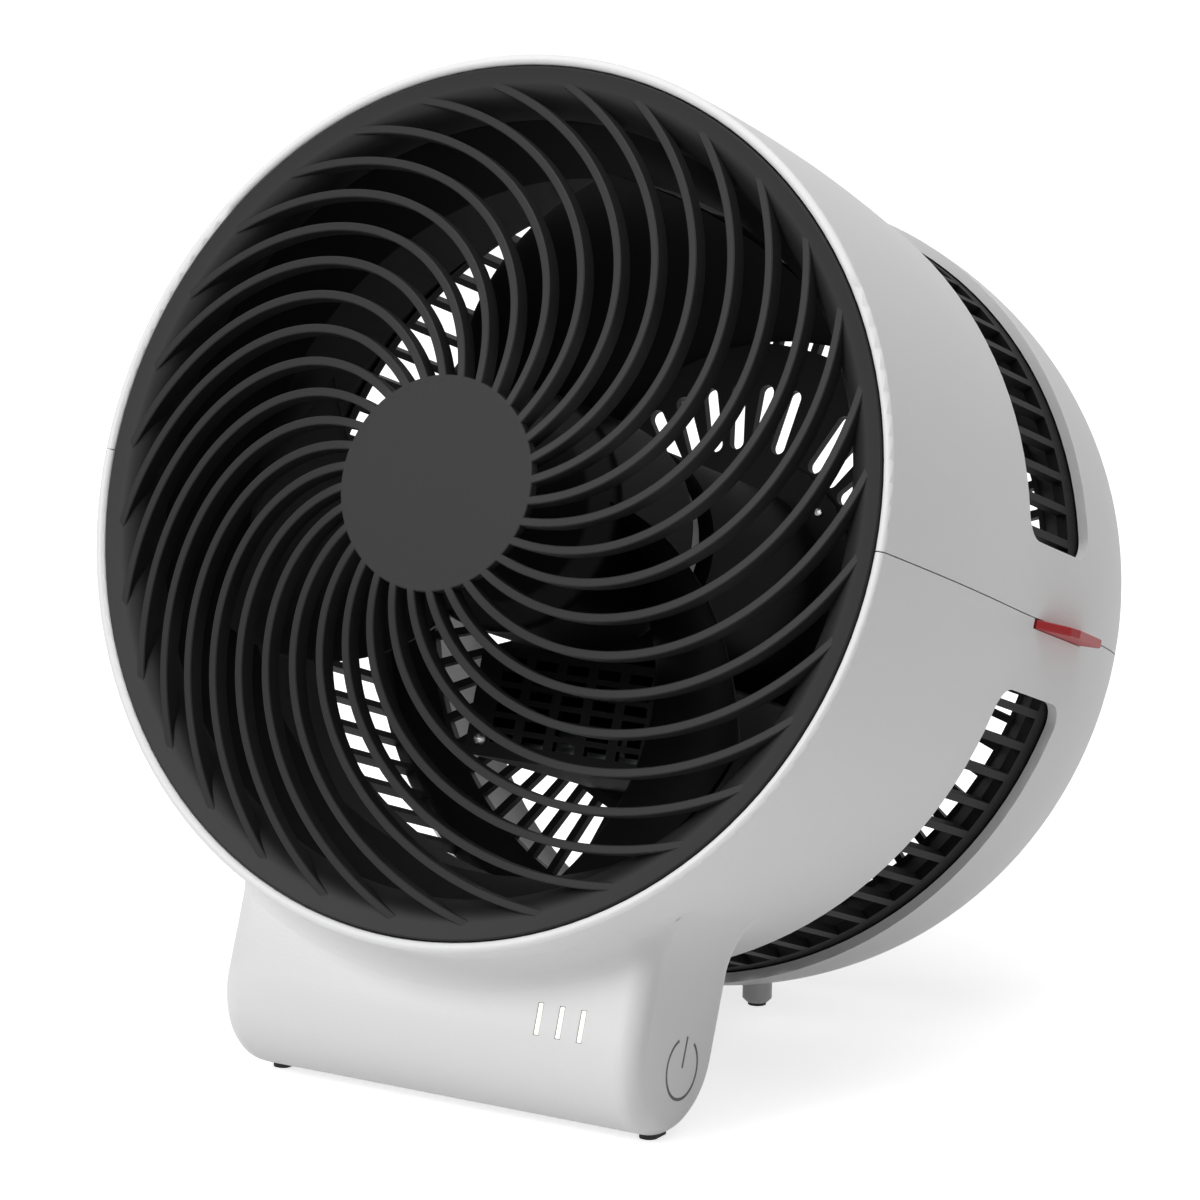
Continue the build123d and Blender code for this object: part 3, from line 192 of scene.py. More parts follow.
class Nodes:
    """Short way to add and join shader nodes in one material."""

    def __init__(self, name):
        self.material = bpy.data.materials.new(name)
        self.material.use_nodes = True
        self.tree = self.material.node_tree
        self.shader = self.tree.nodes["Principled BSDF"]
        self.place = self.add("ShaderNodeTexCoord").outputs["Object"]

    def add(self, kind, **values):
        """New node; keys are attributes, or sockets where the key starts with in_."""
        node = self.tree.nodes.new(kind)
        for key, value in values.items():
            if key.startswith("in_"):
                node.inputs[key[3:].replace("_", " ")].default_value = value
            else:
                setattr(node, key, value)
        return node

    def join(self, source, target):
        """Link from an output socket to an input socket."""
        self.tree.links.new(source, target)

    def noise(self, scale, detail=2.0, rough=0.5, stretch=None):
        """Noise over the object's own coordinates, stretched along an axis where asked."""
        node = self.add("ShaderNodeTexNoise", in_Scale=scale, in_Detail=detail, in_Roughness=rough)
        source = self.place
        if stretch:
            mapping = self.add("ShaderNodeMapping", in_Scale=stretch)
            self.join(source, mapping.inputs["Vector"])
            source = mapping.outputs["Vector"]
        self.join(source, node.inputs["Vector"])
        return node.outputs["Fac"]

    def ranged(self, source, low, high):
        """A 0..1 source mapped to low..high."""
        node = self.add("ShaderNodeMapRange", in_To_Min=low, in_To_Max=high)
        self.join(source, node.inputs["Value"])
        return node.outputs["Result"]

    def tint(self, source, dark, light):
        """Base colour between two colours, by a 0..1 source."""
        node = self.add("ShaderNodeMix", data_type="RGBA")
        # the node has sockets of these names for other kinds of value too
        for socket in node.inputs:
            if socket.type == "RGBA" and socket.name in "AB":
                socket.default_value = (*(dark if socket.name == "A" else light), 1)
        self.join(source, node.inputs["Factor"])
        out = [s for s in node.outputs if s.type == "RGBA"][0]
        self.join(out, self.shader.inputs["Base Color"])

    def bump(self, source, distance, strength=1.0):
        """Bump of a height source, with its height in metres, into the shader's normal."""
        node = self.add("ShaderNodeBump", in_Strength=strength, in_Distance=distance)
        self.join(source, node.inputs["Height"])
        self.join(node.outputs["Normal"], self.shader.inputs["Normal"])

    def set(self, **values):
        """Plain values on the shader's own sockets."""
        for key, value in values.items():
            self.shader.inputs[key.replace("_", " ")].default_value = value


def shade(colour, factor):
    """A colour made darker or lighter by a factor."""
    return tuple(min(1.0, c * factor) for c in colour[:3])


def moulded_plastic(name, colour, rough, grain=2600.0, depth=0.00003, variation=0.04, coat=0.0, specular=0.5):
    """Moulded plastic: fine grain in height and gloss, faint cloudiness in colour."""
    nodes = Nodes(name)
    cloud = nodes.noise(38.0, 3.0)
    fine = nodes.noise(grain, 2.0, 0.6)
    nodes.tint(cloud, shade(colour, 1 - variation), shade(colour, 1 + variation))
    nodes.join(nodes.ranged(fine, rough - 0.06, rough + 0.06), nodes.shader.inputs["Roughness"])
    nodes.bump(fine, depth)
    nodes.set(Specular_IOR_Level=specular, Coat_Weight=coat)
    return nodes.material


def brushed_metal(name, colour, rough, stretch=(1.0, 1.0, 40.0)):
    """Metal with slight stains and fine lines across the axis along which the noise is squeezed."""
    nodes = Nodes(name)
    lines = nodes.noise(420.0, 3.0, 0.7, stretch)
    nodes.tint(nodes.noise(90.0, 2.0), shade(colour, 0.86), shade(colour, 1.06))
    nodes.join(nodes.ranged(lines, rough - 0.1, rough + 0.12), nodes.shader.inputs["Roughness"])
    nodes.bump(lines, 0.00001, 0.6)
    nodes.set(Metallic=1.0)
    return nodes.material


def light_lens(glow):
    """Milky light bar: glowing evenly, with a faint cloud in it."""
    nodes = Nodes("light_bar_lens")
    cloud = nodes.noise(700.0, 1.0)
    nodes.tint(cloud, shade(glow, 0.94), tuple(glow))
    nodes.join(nodes.ranged(cloud, 0.3, 0.38), nodes.shader.inputs["Roughness"])
    nodes.set(Emission_Color=(*glow, 1), Emission_Strength=0.45)
    return nodes.material


# ------------------------------------------------------------------ settings
def colour_property(label, text, default):
    """Colour setting, in linear values."""
    return FloatVectorProperty(name=label, description=text, default=default, subtype="COLOR",
                               size=3, min=0.0, max=1.0)


def length_property(label, text, default, low=0.0, high=500.0):
    """Length setting in millimetres."""
    return FloatProperty(name=label, description=text, default=default, min=low, max=high)


class FanColours(bpy.types.PropertyGroup):
    """Colours of the fan's plastics."""

    housing: colour_property("Housing", "Satin white of the housing and foot", (0.79, 0.79, 0.79))
    grille: colour_property("Grille", "Charcoal of the front grille", (0.017, 0.017, 0.0173))
    inner: colour_property("Inside", "Black of the duct and intake basket", (0.006, 0.006, 0.0062))
    blades: colour_property("Impeller", "Black of the impeller", (0.005, 0.005, 0.0052))
    lever: colour_property("Levers", "Red of the release levers", (0.38, 0.01, 0.014))
    light: colour_property("Light bars", "Glow of the light bars", (1.0, 0.99, 0.9))


class FanGrille(bpy.types.PropertyGroup):
    """Sizes of the front grille in millimetres and degrees."""

    ribs: IntProperty(name="Ribs", description="Number of spiral ribs", default=32, min=3, max=90)
    width: length_property("Rib width", "Width of a rib's front", 2.25)
    depth: length_property("Rib depth", "Depth of a rib", 6.0)
    hub: length_property("Hub radius", "Radius of the flat hub disc", 28.7)
    hub_rise: length_property("Hub rise", "Height of the hub in front of the rim plane", 22.6)
    end: length_property("Rib end", "Radius where the ribs have sunk into the border", 115.2)
    band: length_property("Band", "Inner radius of the border's flat front band", 113.6)
    mouth: length_property("Mouth", "Inner radius of the border's bell mouth", 104.9)
    mouth_depth: length_property("Mouth depth", "Depth of the bell mouth's end", 12.0)
    phase: FloatProperty(name="Phase", description="Turn of the first rib, degrees", default=8.5)
    lean: FloatProperty(name="Lean", description="Turn per millimetre outwards, degrees", default=0.523)
    curl: FloatProperty(name="Curl", description="Growth of that turn, degrees", default=0.00362, precision=5)
    drop: length_property("Dome drop", "Fall of the ribs over the reach", 24.3)
    reach: length_property("Dome reach", "Distance outwards of that fall", 85.3)
    power: FloatProperty(name="Dome power", description="Roundness of the dome", default=1.29)


class FanImpeller(bpy.types.PropertyGroup):
    """Sizes of the impeller in millimetres and degrees."""

    blades: IntProperty(name="Blades", description="Number of blades", default=3, min=2, max=15)
    hub: length_property("Hub radius", "Outer radius of the hub cup", 33.0)
    tip: length_property("Tip radius", "Radius of the blade tips", 94.0)
    front: length_property("Front", "Depth of the hub's face behind the rim plane", 12.0)
    rear: length_property("Rear", "Depth of the hub's open end", 60.0)
    thickness: length_property("Blade thickness", "Thickest part of a blade", 2.2)
    phase: FloatProperty(name="Phase", default=83.5,
                         description="Middle of the first blade at mid span, degrees")
    sweep: FloatProperty(name="Sweep", default=48.0,
                         description="Turn from a blade's rear to its front edge, degrees")
    skew: FloatProperty(name="Skew", default=0.7,
                        description="Lean of a blade per millimetre outwards, degrees")


class FanLights(bpy.types.PropertyGroup):
    """Sizes of the light bars on the foot, in millimetres."""

    count: IntProperty(name="Bars", description="Number of light bars", default=3, min=1, max=9)
    first: length_property("First", "First bar's distance from the middle", 34.8)
    pitch: length_property("Pitch", "Distance between bars", 6.5)
    middle: length_property("Middle", "Middle of the bars along the rim plane", -131.2, -500.0)
    height: length_property("Height", "Length of a bar", 8.4)
    width: length_property("Width", "Width of a bar", 1.35)
    frame: length_property("Frame", "Width of the grey line round a bar", 0.28)
    face: length_property("Face", "Depth of the foot's front face", 22.0)
    round: length_property("Round", "Radius of the foot's bottom", 23.0)
    round_up: length_property("Round start", "Start of the bottom round along the rim plane", -132.9, -500.0)


class FanLevers(bpy.types.PropertyGroup):
    """Sizes of the release levers in millimetres."""

    top: length_property("Top", "Upper face along the rim plane", -0.2, -500.0)
    thickness: length_property("Thickness", "Thickness of a lever", 2.5)
    edge: length_property("Edge", "Rounding of its edges", 0.45)
    inner: length_property("Inner edge", "Inner edge from the middle", 109.6)
    wall: length_property("Wall", "Where the sloping front edge starts", 114.1)
    reach: length_property("Reach", "Outer edge from the middle", 121.7)
    front: length_property("Front", "Depth of the front edge", 110.3)
    slope: length_property("Slope", "Depth that the front edge runs back", 8.5)
    rear: length_property("Rear", "Depth of the rear edge", 141.0)
    pivot_side: length_property("Pivot", "Pivot from the middle", 108.9)
    pivot_depth: length_property("Pivot depth", "Depth of the pivot", 112.6)
    eye: length_property("Eye", "Radius of the eye round the pivot", 2.2)
    bore: length_property("Bore", "Radius of the pin's hole", 0.92)


class FanStudio(bpy.types.PropertyGroup):
    """Camera and lamps."""

    azimuth: FloatProperty(name="Azimuth", description="Camera's turn to its right, degrees", default=30.22)
    elevation: FloatProperty(name="Elevation", description="Camera's height, degrees", default=12.49)
    roll: FloatProperty(name="Roll", description="Camera's roll, degrees", default=0.90)
    lens: FloatProperty(name="Lens", description="Focal length, mm", default=165.51)
    distance: FloatProperty(name="Distance", description="Camera to target, m", default=1.45124, unit="LENGTH")
    aside: length_property("Aside", "Target to the right of the rim centre, mm", 32.08, -500.0)
    above: length_property("Above", "Target above the rim centre, mm", -26.79, -500.0)
    key: FloatProperty(name="Key lamp", description="Power of the front lamp, W", default=66.0)
    top: FloatProperty(name="Top lamp", description="Power of the upper lamp, W", default=32.0)
    ambient: FloatProperty(name="Ambient", description="Strength of the surroundings", default=0.22)


GROUPS = {"fan_colours": FanColours, "fan_grille": FanGrille,
          "fan_impeller": FanImpeller, "fan_lights": FanLights,
          "fan_levers": FanLevers, "fan_studio": FanStudio}


# ------------------------------------------------------------------ operators
class FAN_OT_studio(bpy.types.Operator):
    """Camera at the photographed angle, pale floor and soft lamps"""

    bl_idname = "fan.studio"
    bl_label = "Studio"

    SENSOR = 36.0  # width of the camera's sensor, mm
    # where the lamps stand, the sides of their squares and the place they look at, in metres
    KEY_SPOT, KEY_SIDE = (-1.2, -2.7, 2.1), 1.6
    TOP_SPOT, TOP_SIDE = (0.3, -0.2, 2.6), 1.8
    LAMP_AIM = (0.0, -0.05, 0.13)
    FLOOR_RADII = (0.0, 0.3, 0.8, 2.0, 6.0, 14.0)  # rings of the floor, in metres
    FLOOR_SIDES = 64
    PAPER_DARK, PAPER_LIGHT = (0.74, 0.74, 0.74), (0.78, 0.78, 0.78)
    PAPER_GLOW = 0.72  # what the paper adds to a ray from the camera

    def execute(self, context):
        scene = context.scene
        studio = scene.fan_studio
        scene.view_settings.view_transform = "Standard"
        # camera: a spherical direction from the target, then a roll about the line of sight
        azimuth, elevation, roll = (math.radians(v) for v in (studio.azimuth, studio.elevation, studio.roll))
        back = Vector((math.sin(azimuth) * math.cos(elevation),
                       -math.cos(azimuth) * math.cos(elevation), math.sin(elevation)))
        level = Vector((math.cos(azimuth), math.sin(azimuth), 0))
        upright = back.cross(level)
        right = level * math.cos(roll) + upright * math.sin(roll)
        above = back.cross(right)
        target = Vector(RIM) + right * studio.aside * MM + above * studio.above * MM
        data = bpy.data.cameras.new("camera")
        data.lens, data.sensor_width = studio.lens, self.SENSOR
        data.clip_start, data.clip_end = 0.05, 50.0
        camera = bpy.data.objects.new("camera", data)
        scene.collection.objects.link(camera)
        turn = Matrix((right, above, back)).transposed().to_4x4()
        camera.matrix_world = Matrix.Translation(target + back * studio.distance) @ turn
        scene.camera = camera
        self.floor(scene)
        self.world(scene, studio.ambient)
        self.lamp(scene, "key_lamp", self.KEY_SPOT, studio.key, self.KEY_SIDE)
        self.lamp(scene, "top_lamp", self.TOP_SPOT, studio.top, self.TOP_SIDE)
        return {"FINISHED"}

    def lamp(self, scene, name, spot, power, size):
        """Square soft lamp that looks at the fan."""
        data = bpy.data.lights.new(name, "AREA")
        data.energy, data.size, data.shape = power, size, "SQUARE"
        lamp = bpy.data.objects.new(name, data)
        scene.collection.objects.link(lamp)
        aim = Vector(self.LAMP_AIM) - Vector(spot)
        lamp.matrix_world = Matrix.Translation(spot) @ aim.to_track_quat("-Z", "Y").to_matrix().to_4x4()

    def floor(self, scene):
        """Round flat floor whose lit colour reads white to the camera and keeps the shadow."""
        radius = np.array(self.FLOOR_RADII)[None, :]
        angle = even_angles(self.FLOOR_SIDES)[:, None]
        points = np.stack([radius * np.cos(angle), radius * np.sin(angle), 0 * radius * angle], -1)
        quads = grid_quads(self.FLOOR_SIDES, len(self.FLOOR_RADII), wrap_rows=True)
        mesh = bpy.data.meshes.new("floor")
        mesh.from_pydata(points.reshape(-1, 3).tolist(), [], quads.tolist())
        work = bmesh.new()
        work.from_mesh(mesh)
        bmesh.ops.remove_doubles(work, verts=work.verts, dist=SAME_POINT)
        bmesh.ops.recalc_face_normals(work, faces=work.faces)
        if sum(f.normal.z for f in work.faces) < 0:
            bmesh.ops.reverse_faces(work, faces=work.faces)
        work.to_mesh(mesh)
        work.free()
        floor = bpy.data.objects.new("floor", mesh)
        scene.collection.objects.link(floor)
        paper = Nodes("floor_paper")
        paper.tint(paper.noise(900.0), self.PAPER_DARK, self.PAPER_LIGHT)
        paper.set(Roughness=0.85, Specular_IOR_Level=0.1)
        glow = paper.add("ShaderNodeEmission", in_Color=(1, 1, 1, 1))
        rays = paper.add("ShaderNodeLightPath")
        paper.join(paper.ranged(seen_ray(paper.tree, rays), 0.0, self.PAPER_GLOW), glow.inputs["Strength"])
        both = paper.add("ShaderNodeAddShader")
        paper.join(paper.shader.outputs[0], both.inputs[0])
        paper.join(glow.outputs[0], both.inputs[1])
        paper.join(both.outputs[0], paper.tree.nodes["Material Output"].inputs["Surface"])
        mesh.materials.append(paper.material)

    def world(self, scene, ambient):
        """Even surroundings: white to the camera and to reflections, softer as light."""
        world = bpy.data.worlds.new("surroundings")
        world.use_nodes = True
        tree = world.node_tree
        back = tree.nodes["Background"]
        back.inputs["Color"].default_value = (1, 1, 1, 1)
        rays = tree.nodes.new("ShaderNodeLightPath")
        mix = tree.nodes.new("ShaderNodeMapRange")
        mix.inputs["To Min"].default_value = ambient
        mix.inputs["To Max"].default_value = 1.0
        tree.links.new(seen_ray(tree, rays), mix.inputs["Value"])
        tree.links.new(mix.outputs["Result"], back.inputs["Strength"])
        scene.world = world


class FAN_OT_finishes(bpy.types.Operator):
    """Materials of the parts that keep their modelled shape"""

    bl_idname = "fan.finishes"
    bl_label = "Finishes"

    def execute(self, context):
        colours = context.scene.fan_colours
        white = moulded_plastic("white_satin_plastic", colours.housing, 0.5, grain=1300.0, depth=0.00006,
                                variation=0.012)
        inner = moulded_plastic("black_matte_plastic", colours.inner, 0.55, specular=0.12)
        red = moulded_plastic("red_satin_plastic", colours.lever, 0.35, grain=3000.0, depth=0.00001,
                              variation=0.03, coat=0.2)
        rubber = moulded_plastic("pad_rubber", (0.03, 0.03, 0.03), 0.8, grain=1800.0, depth=0.00006)
        ink = moulded_plastic("symbol_ink", (0.045, 0.045, 0.045), 0.5, grain=3200.0, depth=0.00001)
        socket = moulded_plastic("socket_plastic", (0.02, 0.02, 0.02), 0.3)
        zinc = brushed_metal("zinc_steel", (0.62, 0.62, 0.63), 0.34)
        ground = brushed_metal("ground_steel", (0.72, 0.72, 0.73), 0.18)
        sheets = self.laminations()
        copper = self.windings()
        magnet = moulded_plastic("sintered_magnet", (0.05, 0.05, 0.052), 0.6, grain=2200.0, depth=0.00004,
                                 variation=0.2)
        board = self.board()
        lens = light_lens(colours.light)
        finishes = {
            white: ("lower_shell", "upper_shell", "foot_cover"),
            inner: ("air_duct", "intake_basket", "motor_base", "driver_box", "vent_cover"),
            red: ("latch_left", "latch_right"),
            rubber: ("front_pads", "rear_pads"),
            ink: ("power_symbol",),
            socket: ("power_inlet",),
            zinc: ("basket_screws", "motor_screws", "vent_cover_screws", "foot_cover_screws",
                   "control_board_screws", "latch_pins", "rotor_cup", "bearing_tube", "impeller_nut"),
            ground: ("rotor_shaft", "front_bearing", "rear_bearing"),
            sheets: ("stator_core",),
            copper: ("stator_windings",),
            magnet: ("rotor_magnet",),
            board: ("motor_board", "driver_board", "control_board", "touch_sensor"),
            lens: ("indicator_lenses", "indicator_leds"),
            moulded_plastic("grille_plastic", colours.grille, 0.5, specular=0.2): ("front_grille",),
            moulded_plastic("impeller_plastic", colours.blades, 0.42, specular=0.12): ("impeller",),
        }
        for material, names in finishes.items():
            for name in names:
                node = frame["nodes"][name]
                node.data.materials.clear()
                node.data.materials.append(material)
        return {"FINISHED"}

    def laminations(self):
        """Stacked steel sheets: fine bands one behind the other along Y, from which the fan axis leans."""
        steel = Nodes("steel_sheets")
        bands = steel.add("ShaderNodeTexWave", in_Scale=320.0, bands_direction="Y")
        steel.join(steel.place, bands.inputs["Vector"])
        steel.tint(bands.outputs["Fac"], (0.16, 0.16, 0.17), (0.42, 0.42, 0.44))
        steel.bump(bands.outputs["Fac"], 0.00006)
        steel.set(Metallic=0.9, Roughness=0.45)
        return steel.material

    def windings(self):
        """Enamelled copper turns: narrow bands with a lacquer coat."""
        copper = Nodes("copper_turns")
        bands = copper.add("ShaderNodeTexWave", in_Scale=520.0, in_Distortion=0.6, bands_direction="DIAGONAL")
        copper.join(copper.place, bands.inputs["Vector"])
        copper.tint(bands.outputs["Fac"], (0.22, 0.07, 0.03), (0.72, 0.33, 0.14))
        copper.bump(bands.outputs["Fac"], 0.0001)
        copper.set(Metallic=0.85, Roughness=0.3, Coat_Weight=0.5)
        return copper.material

    def board(self):
        """Circuit board: green mask with copper traces under it."""
        mask = Nodes("board_mask")
        cells = mask.add("ShaderNodeTexVoronoi", in_Scale=260.0, feature="DISTANCE_TO_EDGE",
                         distance="CHEBYCHEV")
        mask.join(mask.place, cells.inputs["Vector"])
        trace_half = 0.08  # a trace runs along the cells' borders, this far to each side of them
        step = mask.add("ShaderNodeMath", operation="GREATER_THAN")
        step.inputs[1].default_value = trace_half
        mask.join(cells.outputs["Distance"], step.inputs[0])
        mask.tint(step.outputs[0], (0.006, 0.035, 0.018), (0.003, 0.018, 0.009))
        mask.bump(step.outputs[0], 0.00003)
        mask.set(Roughness=0.3, Coat_Weight=0.3)
        return mask.material


class FAN_OT_front_grille(bpy.types.Operator):
    """Front grille: hub disc, spiral ribs on a dome and the funnel-shaped border"""

    bl_idname = "fan.front_grille"
    bl_label = "Front grille"

    HUB_THICKNESS = 3.0
    # the border: its outer radius, the depths of its band's two edges and of its back, its wall and lip
    BORDER_RADIUS, BAND_FRONT, BAND_REAR, BORDER_BACK, WALL, LIP = 117.0, 0.3, 1.0, 4.3, 1.8, 0.45

    def execute(self, context):
        grille = context.scene.fan_grille
        finish = moulded_plastic("charcoal_plastic", context.scene.fan_colours.grille, 0.5, grain=2400.0,
                                 depth=0.00002, variation=0.03, specular=0.2)
        border = lathe(self.border(grille), segments=256)
        radius, edge = grille.hub, 0.45
        face, back = -grille.hub_rise, self.HUB_THICKNESS - grille.hub_rise
        disc = rounded([(0.0, face), (radius, face), (radius, back), (0.0, back)], [0.0, edge, edge, 0.0])
        hub = lathe(disc, segments=160)
        ribs = repeated(*self.rib(grille), grille.ribs)
        points, faces = joined(border, hub, ribs)
        make_piece("grille_detail", points, faces, finish, "housing", "black_grille", ["front_grille"])
        return {"FINISHED"}

    def border(self, grille):
        """Section of the border: flat band, then a quarter ellipse that curls inwards, and a sloping back."""
        turn = np.linspace(0, np.pi / 2, 14)
        curl = np.stack([grille.band - (grille.band - grille.mouth) * np.sin(turn),
                         grille.mouth_depth - (grille.mouth_depth - self.BAND_REAR) * np.cos(turn)], -1)
        outer, front = self.BORDER_RADIUS, self.BAND_FRONT
        outside = rounded([(grille.mouth, grille.mouth_depth), (grille.mouth + self.WALL, grille.mouth_depth),
                           (outer, self.BORDER_BACK), (outer, front + self.LIP),
                           (outer - self.LIP, front), (grille.band, self.BAND_REAR)],
                          [0.0, 0.3, 0.8, 0.2, 0.2, 0.0], 3)
        return np.concatenate([curl[1:-1], outside])

    def rib(self, grille):
        """One rib: a flat band with broken edges carried along a spiral over the dome.
        Turn = phase + lean * out + curl * out squared, front height = rise - drop * (out / reach) ** power,
        with out the distance from the hub's edge."""
        under_hub = 1.5  # how far a rib runs in under the hub's edge
        radius = np.linspace(grille.hub - under_hub, grille.end, 56)
        out = radius - grille.hub
        angle = np.radians(grille.phase + grille.lean * out + grille.curl * out * out)
        front = grille.drop * (np.maximum(out, 0) / grille.reach) ** grille.power - grille.hub_rise
        x, y = radius * np.cos(angle), radius * np.sin(angle)
        tangent = np.stack([np.gradient(x), np.gradient(y)], -1)
        tangent /= np.linalg.norm(tangent, axis=1, keepdims=True)
        half, depth, edge, slant = grille.width / 2, grille.depth, 0.28, 0.6
        side = np.array([-half, edge - half, half - edge, half, half, half - 2 * edge, 2 * edge - half, -half])
        back = np.array([edge, 0, 0, edge, depth - slant, depth, depth, depth - slant])
        px = x[:, None] - tangent[:, 1:] * side[None, :]
        py = y[:, None] + tangent[:, :1] * side[None, :]
        points = place(px, py, front[:, None] + back[None, :])
        return points.reshape(-1, 3), tube_faces(len(radius), len(side))


class FAN_OT_impeller(bpy.types.Operator):
    """Impeller: hub cup with its boss and swept, cambered blades"""

    bl_idname = "fan.impeller"
    bl_label = "Impeller"

    def execute(self, context):
        wheel = context.scene.fan_impeller
        finish = moulded_plastic("impeller_satin_plastic", context.scene.fan_colours.blades, 0.42,
                                 depth=0.00001, variation=0.05, specular=0.12)
        hub, boss = self.hub_cup(wheel), self.boss(wheel)
        blades = repeated(*self.blade(wheel), wheel.blades)
        points, faces = joined(hub, boss, blades)
        make_piece("impeller_blades", points, faces, finish, "fan", "impeller_plastic", ["impeller"],
                   sharp=50.0)
        return {"FINISHED"}

    def hub_cup(self, wheel):
        """Cup of the hub: a face that falls a little outwards, a rounded corner and a straight wall."""
        eye, corner, wall, face = 7.0, 7.0, 2.2, 2.9
        # how far the face lies behind the hub's front at the eye and at both ends of the corner
        at_eye, at_corner, at_wall = wheel.front + 0.4, wheel.front + 1.3, wheel.front + 5.5
        outside = [(eye, at_eye), (wheel.hub - corner, at_corner),
                   (wheel.hub, at_wall), (wheel.hub, wheel.rear)]
        inside = [(wheel.hub - wall, wheel.rear), (wheel.hub - wall, at_wall + 2.0),
                  (wheel.hub - corner - 1.0, at_corner + face), (eye, at_eye + face)]
        return lathe(rounded(outside + inside, [0.2, 4.0, 4.0, 0.5, 0.5, 2.0, 2.0, 0.2], 5), segments=128)

    def boss(self, wheel):
        """Boss round the shaft, with a pocket for the nut in its front."""
        bore, pocket, outer, pocket_depth, rear = 2.51, 5.8, 8.0, 6.8, 49.0
        floor = wheel.front + pocket_depth
        return lathe(rounded([(bore, floor), (pocket, floor), (pocket, wheel.front), (outer, wheel.front),
                              (outer, rear), (bore, rear)], [0.1, 0.3, 0.3, 0.6, 0.2, 0.1], 3), segments=64)

    def blade(self, wheel):
        """One blade as a closed skin round a middle surface of chord s and span t.
        Radius grows with t; angle = phase - skew * (radius - mid span) + sweep * (1/2 - s);
        depth runs from the front to the rear edge with s, bowed back by a camber of 4 s (1 - s);
        both faces lie half a thickness from it along its normal, thinning to round edges."""
        chord, span = 41, 26  # points along each
        sink, camber, taper = 1.2, 0.13, 0.35  # of the root into the hub, of the chord and of the thickness
        margin, front_run, rear_run, cutback = 2.0, 4.0, 2.0, 5.0  # of the edges from the cup's ends
        s = (1 - np.cos(np.linspace(0, np.pi, chord))) / 2
        t = np.linspace(0, 1, span)[:, None]
        radius = (wheel.hub - sink) + (wheel.tip - wheel.hub + sink) * t
        angle = wheel.phase - wheel.skew * (radius - (wheel.hub + wheel.tip) / 2) + wheel.sweep * (0.5 - s)
        front, rear = wheel.front + margin + front_run * t, wheel.rear - margin - rear_run * t
        # the front corner at the tip is cut back in a curve
        front = front + cutback * t ** 4 * (1 - s) ** 2
        depth = front + (rear - front) * s + camber * (rear - front) * 4 * s * (1 - s)
        middle = turned(radius + 0 * s, depth, np.radians(angle))
        along = np.gradient(middle, axis=1)
        across = np.gradient(middle, axis=0)
        normal = np.cross(along, across)
        normal /= np.linalg.norm(normal, axis=2, keepdims=True)
        half = wheel.thickness / 2 * np.sqrt(np.clip(1 - np.abs(2 * s - 1) ** 5, 0, 1)) * (1 - taper * t)
        offset = normal * (half * MM)[..., None]
        skin = np.concatenate([middle + offset, (middle - offset)[:, -2:0:-1]], axis=1)
        count = skin.shape[1]
        faces = [tuple(q) for q in grid_quads(span, count, wrap_columns=True).tolist()]
        # root and tip are closed by a strip of faces between the two skins
        for row in (0, span - 1):
            base = row * count
            for j in range(chord - 1):
                low = [base + j, base + j + 1, base + (count - j - 1) % count, base + (count - j) % count]
                faces.append(tuple(dict.fromkeys(low)))
        return skin.reshape(-1, 3), faces


class FAN_OT_light_bars(bpy.types.Operator):
    """Glowing light bars with their thin grey frames, let into the foot's front"""

    bl_idname = "fan.light_bars"
    bl_label = "Light bars"

    def execute(self, context):
        lights = context.scene.fan_lights
        glow = light_lens(context.scene.fan_colours.light)
        grey = moulded_plastic("light_frame_plastic", (0.13, 0.13, 0.125), 0.5, grain=3000.0, depth=0.00001,
                               variation=0.03)
        places = [lights.first + k * lights.pitch for k in range(lights.count)]
        bars = joined(*(self.bar(lights, x) for x in places))
        frames = joined(*(self.frame(lights, x) for x in places))
        make_piece("light_bars", *bars, glow, "housing", "light_lens", ["indicator_lenses"])
        make_piece("light_frames", *frames, grey, "housing", "light_lens")
        return {"FINISHED"}

    def skin(self, lights, up):
        """Depth of the foot's front at a height: flat, then a circle of the bottom's radius."""
        below = np.maximum(lights.round_up - up, 0)
        return lights.face + lights.round - np.sqrt(lights.round ** 2 - below ** 2)

    def ring(self, lights, x, width, height, sink, corner=0.25, steps=5):
        """Rounded rectangle on the foot's front as a closed row of points, sunk by a depth."""
        w, h = width / 2, height / 2
        outline = rounded([(-w, -h), (w, -h), (w, h), (-w, h)], corner, steps)
        px, up = outline[:, 0] + x, outline[:, 1] + lights.middle
        return place(px, up, self.skin(lights, up) + sink)

    def bar(self, lights, x):
        """Bar: rings from the back of the wall to a slightly crowned face."""
        steps = ((0.0, 3.0), (0.0, 0.12), (0.1, 0.04), (0.5, 0.0))  # how much smaller and how deep each is
        points = np.stack([self.ring(lights, x, lights.width - less, lights.height - less, sink)
                           for less, sink in steps])
        return points.reshape(-1, 3), tube_faces(*points.shape[:2])

    def frame(self, lights, x):
        """Frame: a closed ring section round the bar, just under the foot's face."""
        inside, outside = (0.02, 0.25), (2 * lights.frame, 0.4)  # how much larger than the bar, and the corners
        steps = ((inside, 0.1), (outside, 0.02), (outside, 1.2), (inside, 1.2))  # and how deep each ring is
        points = np.stack([self.ring(lights, x, lights.width + more, lights.height + more, sink, corner)
                           for (more, corner), sink in steps])
        return points.reshape(-1, 3), grid_quads(*points.shape[:2], True, True).tolist()


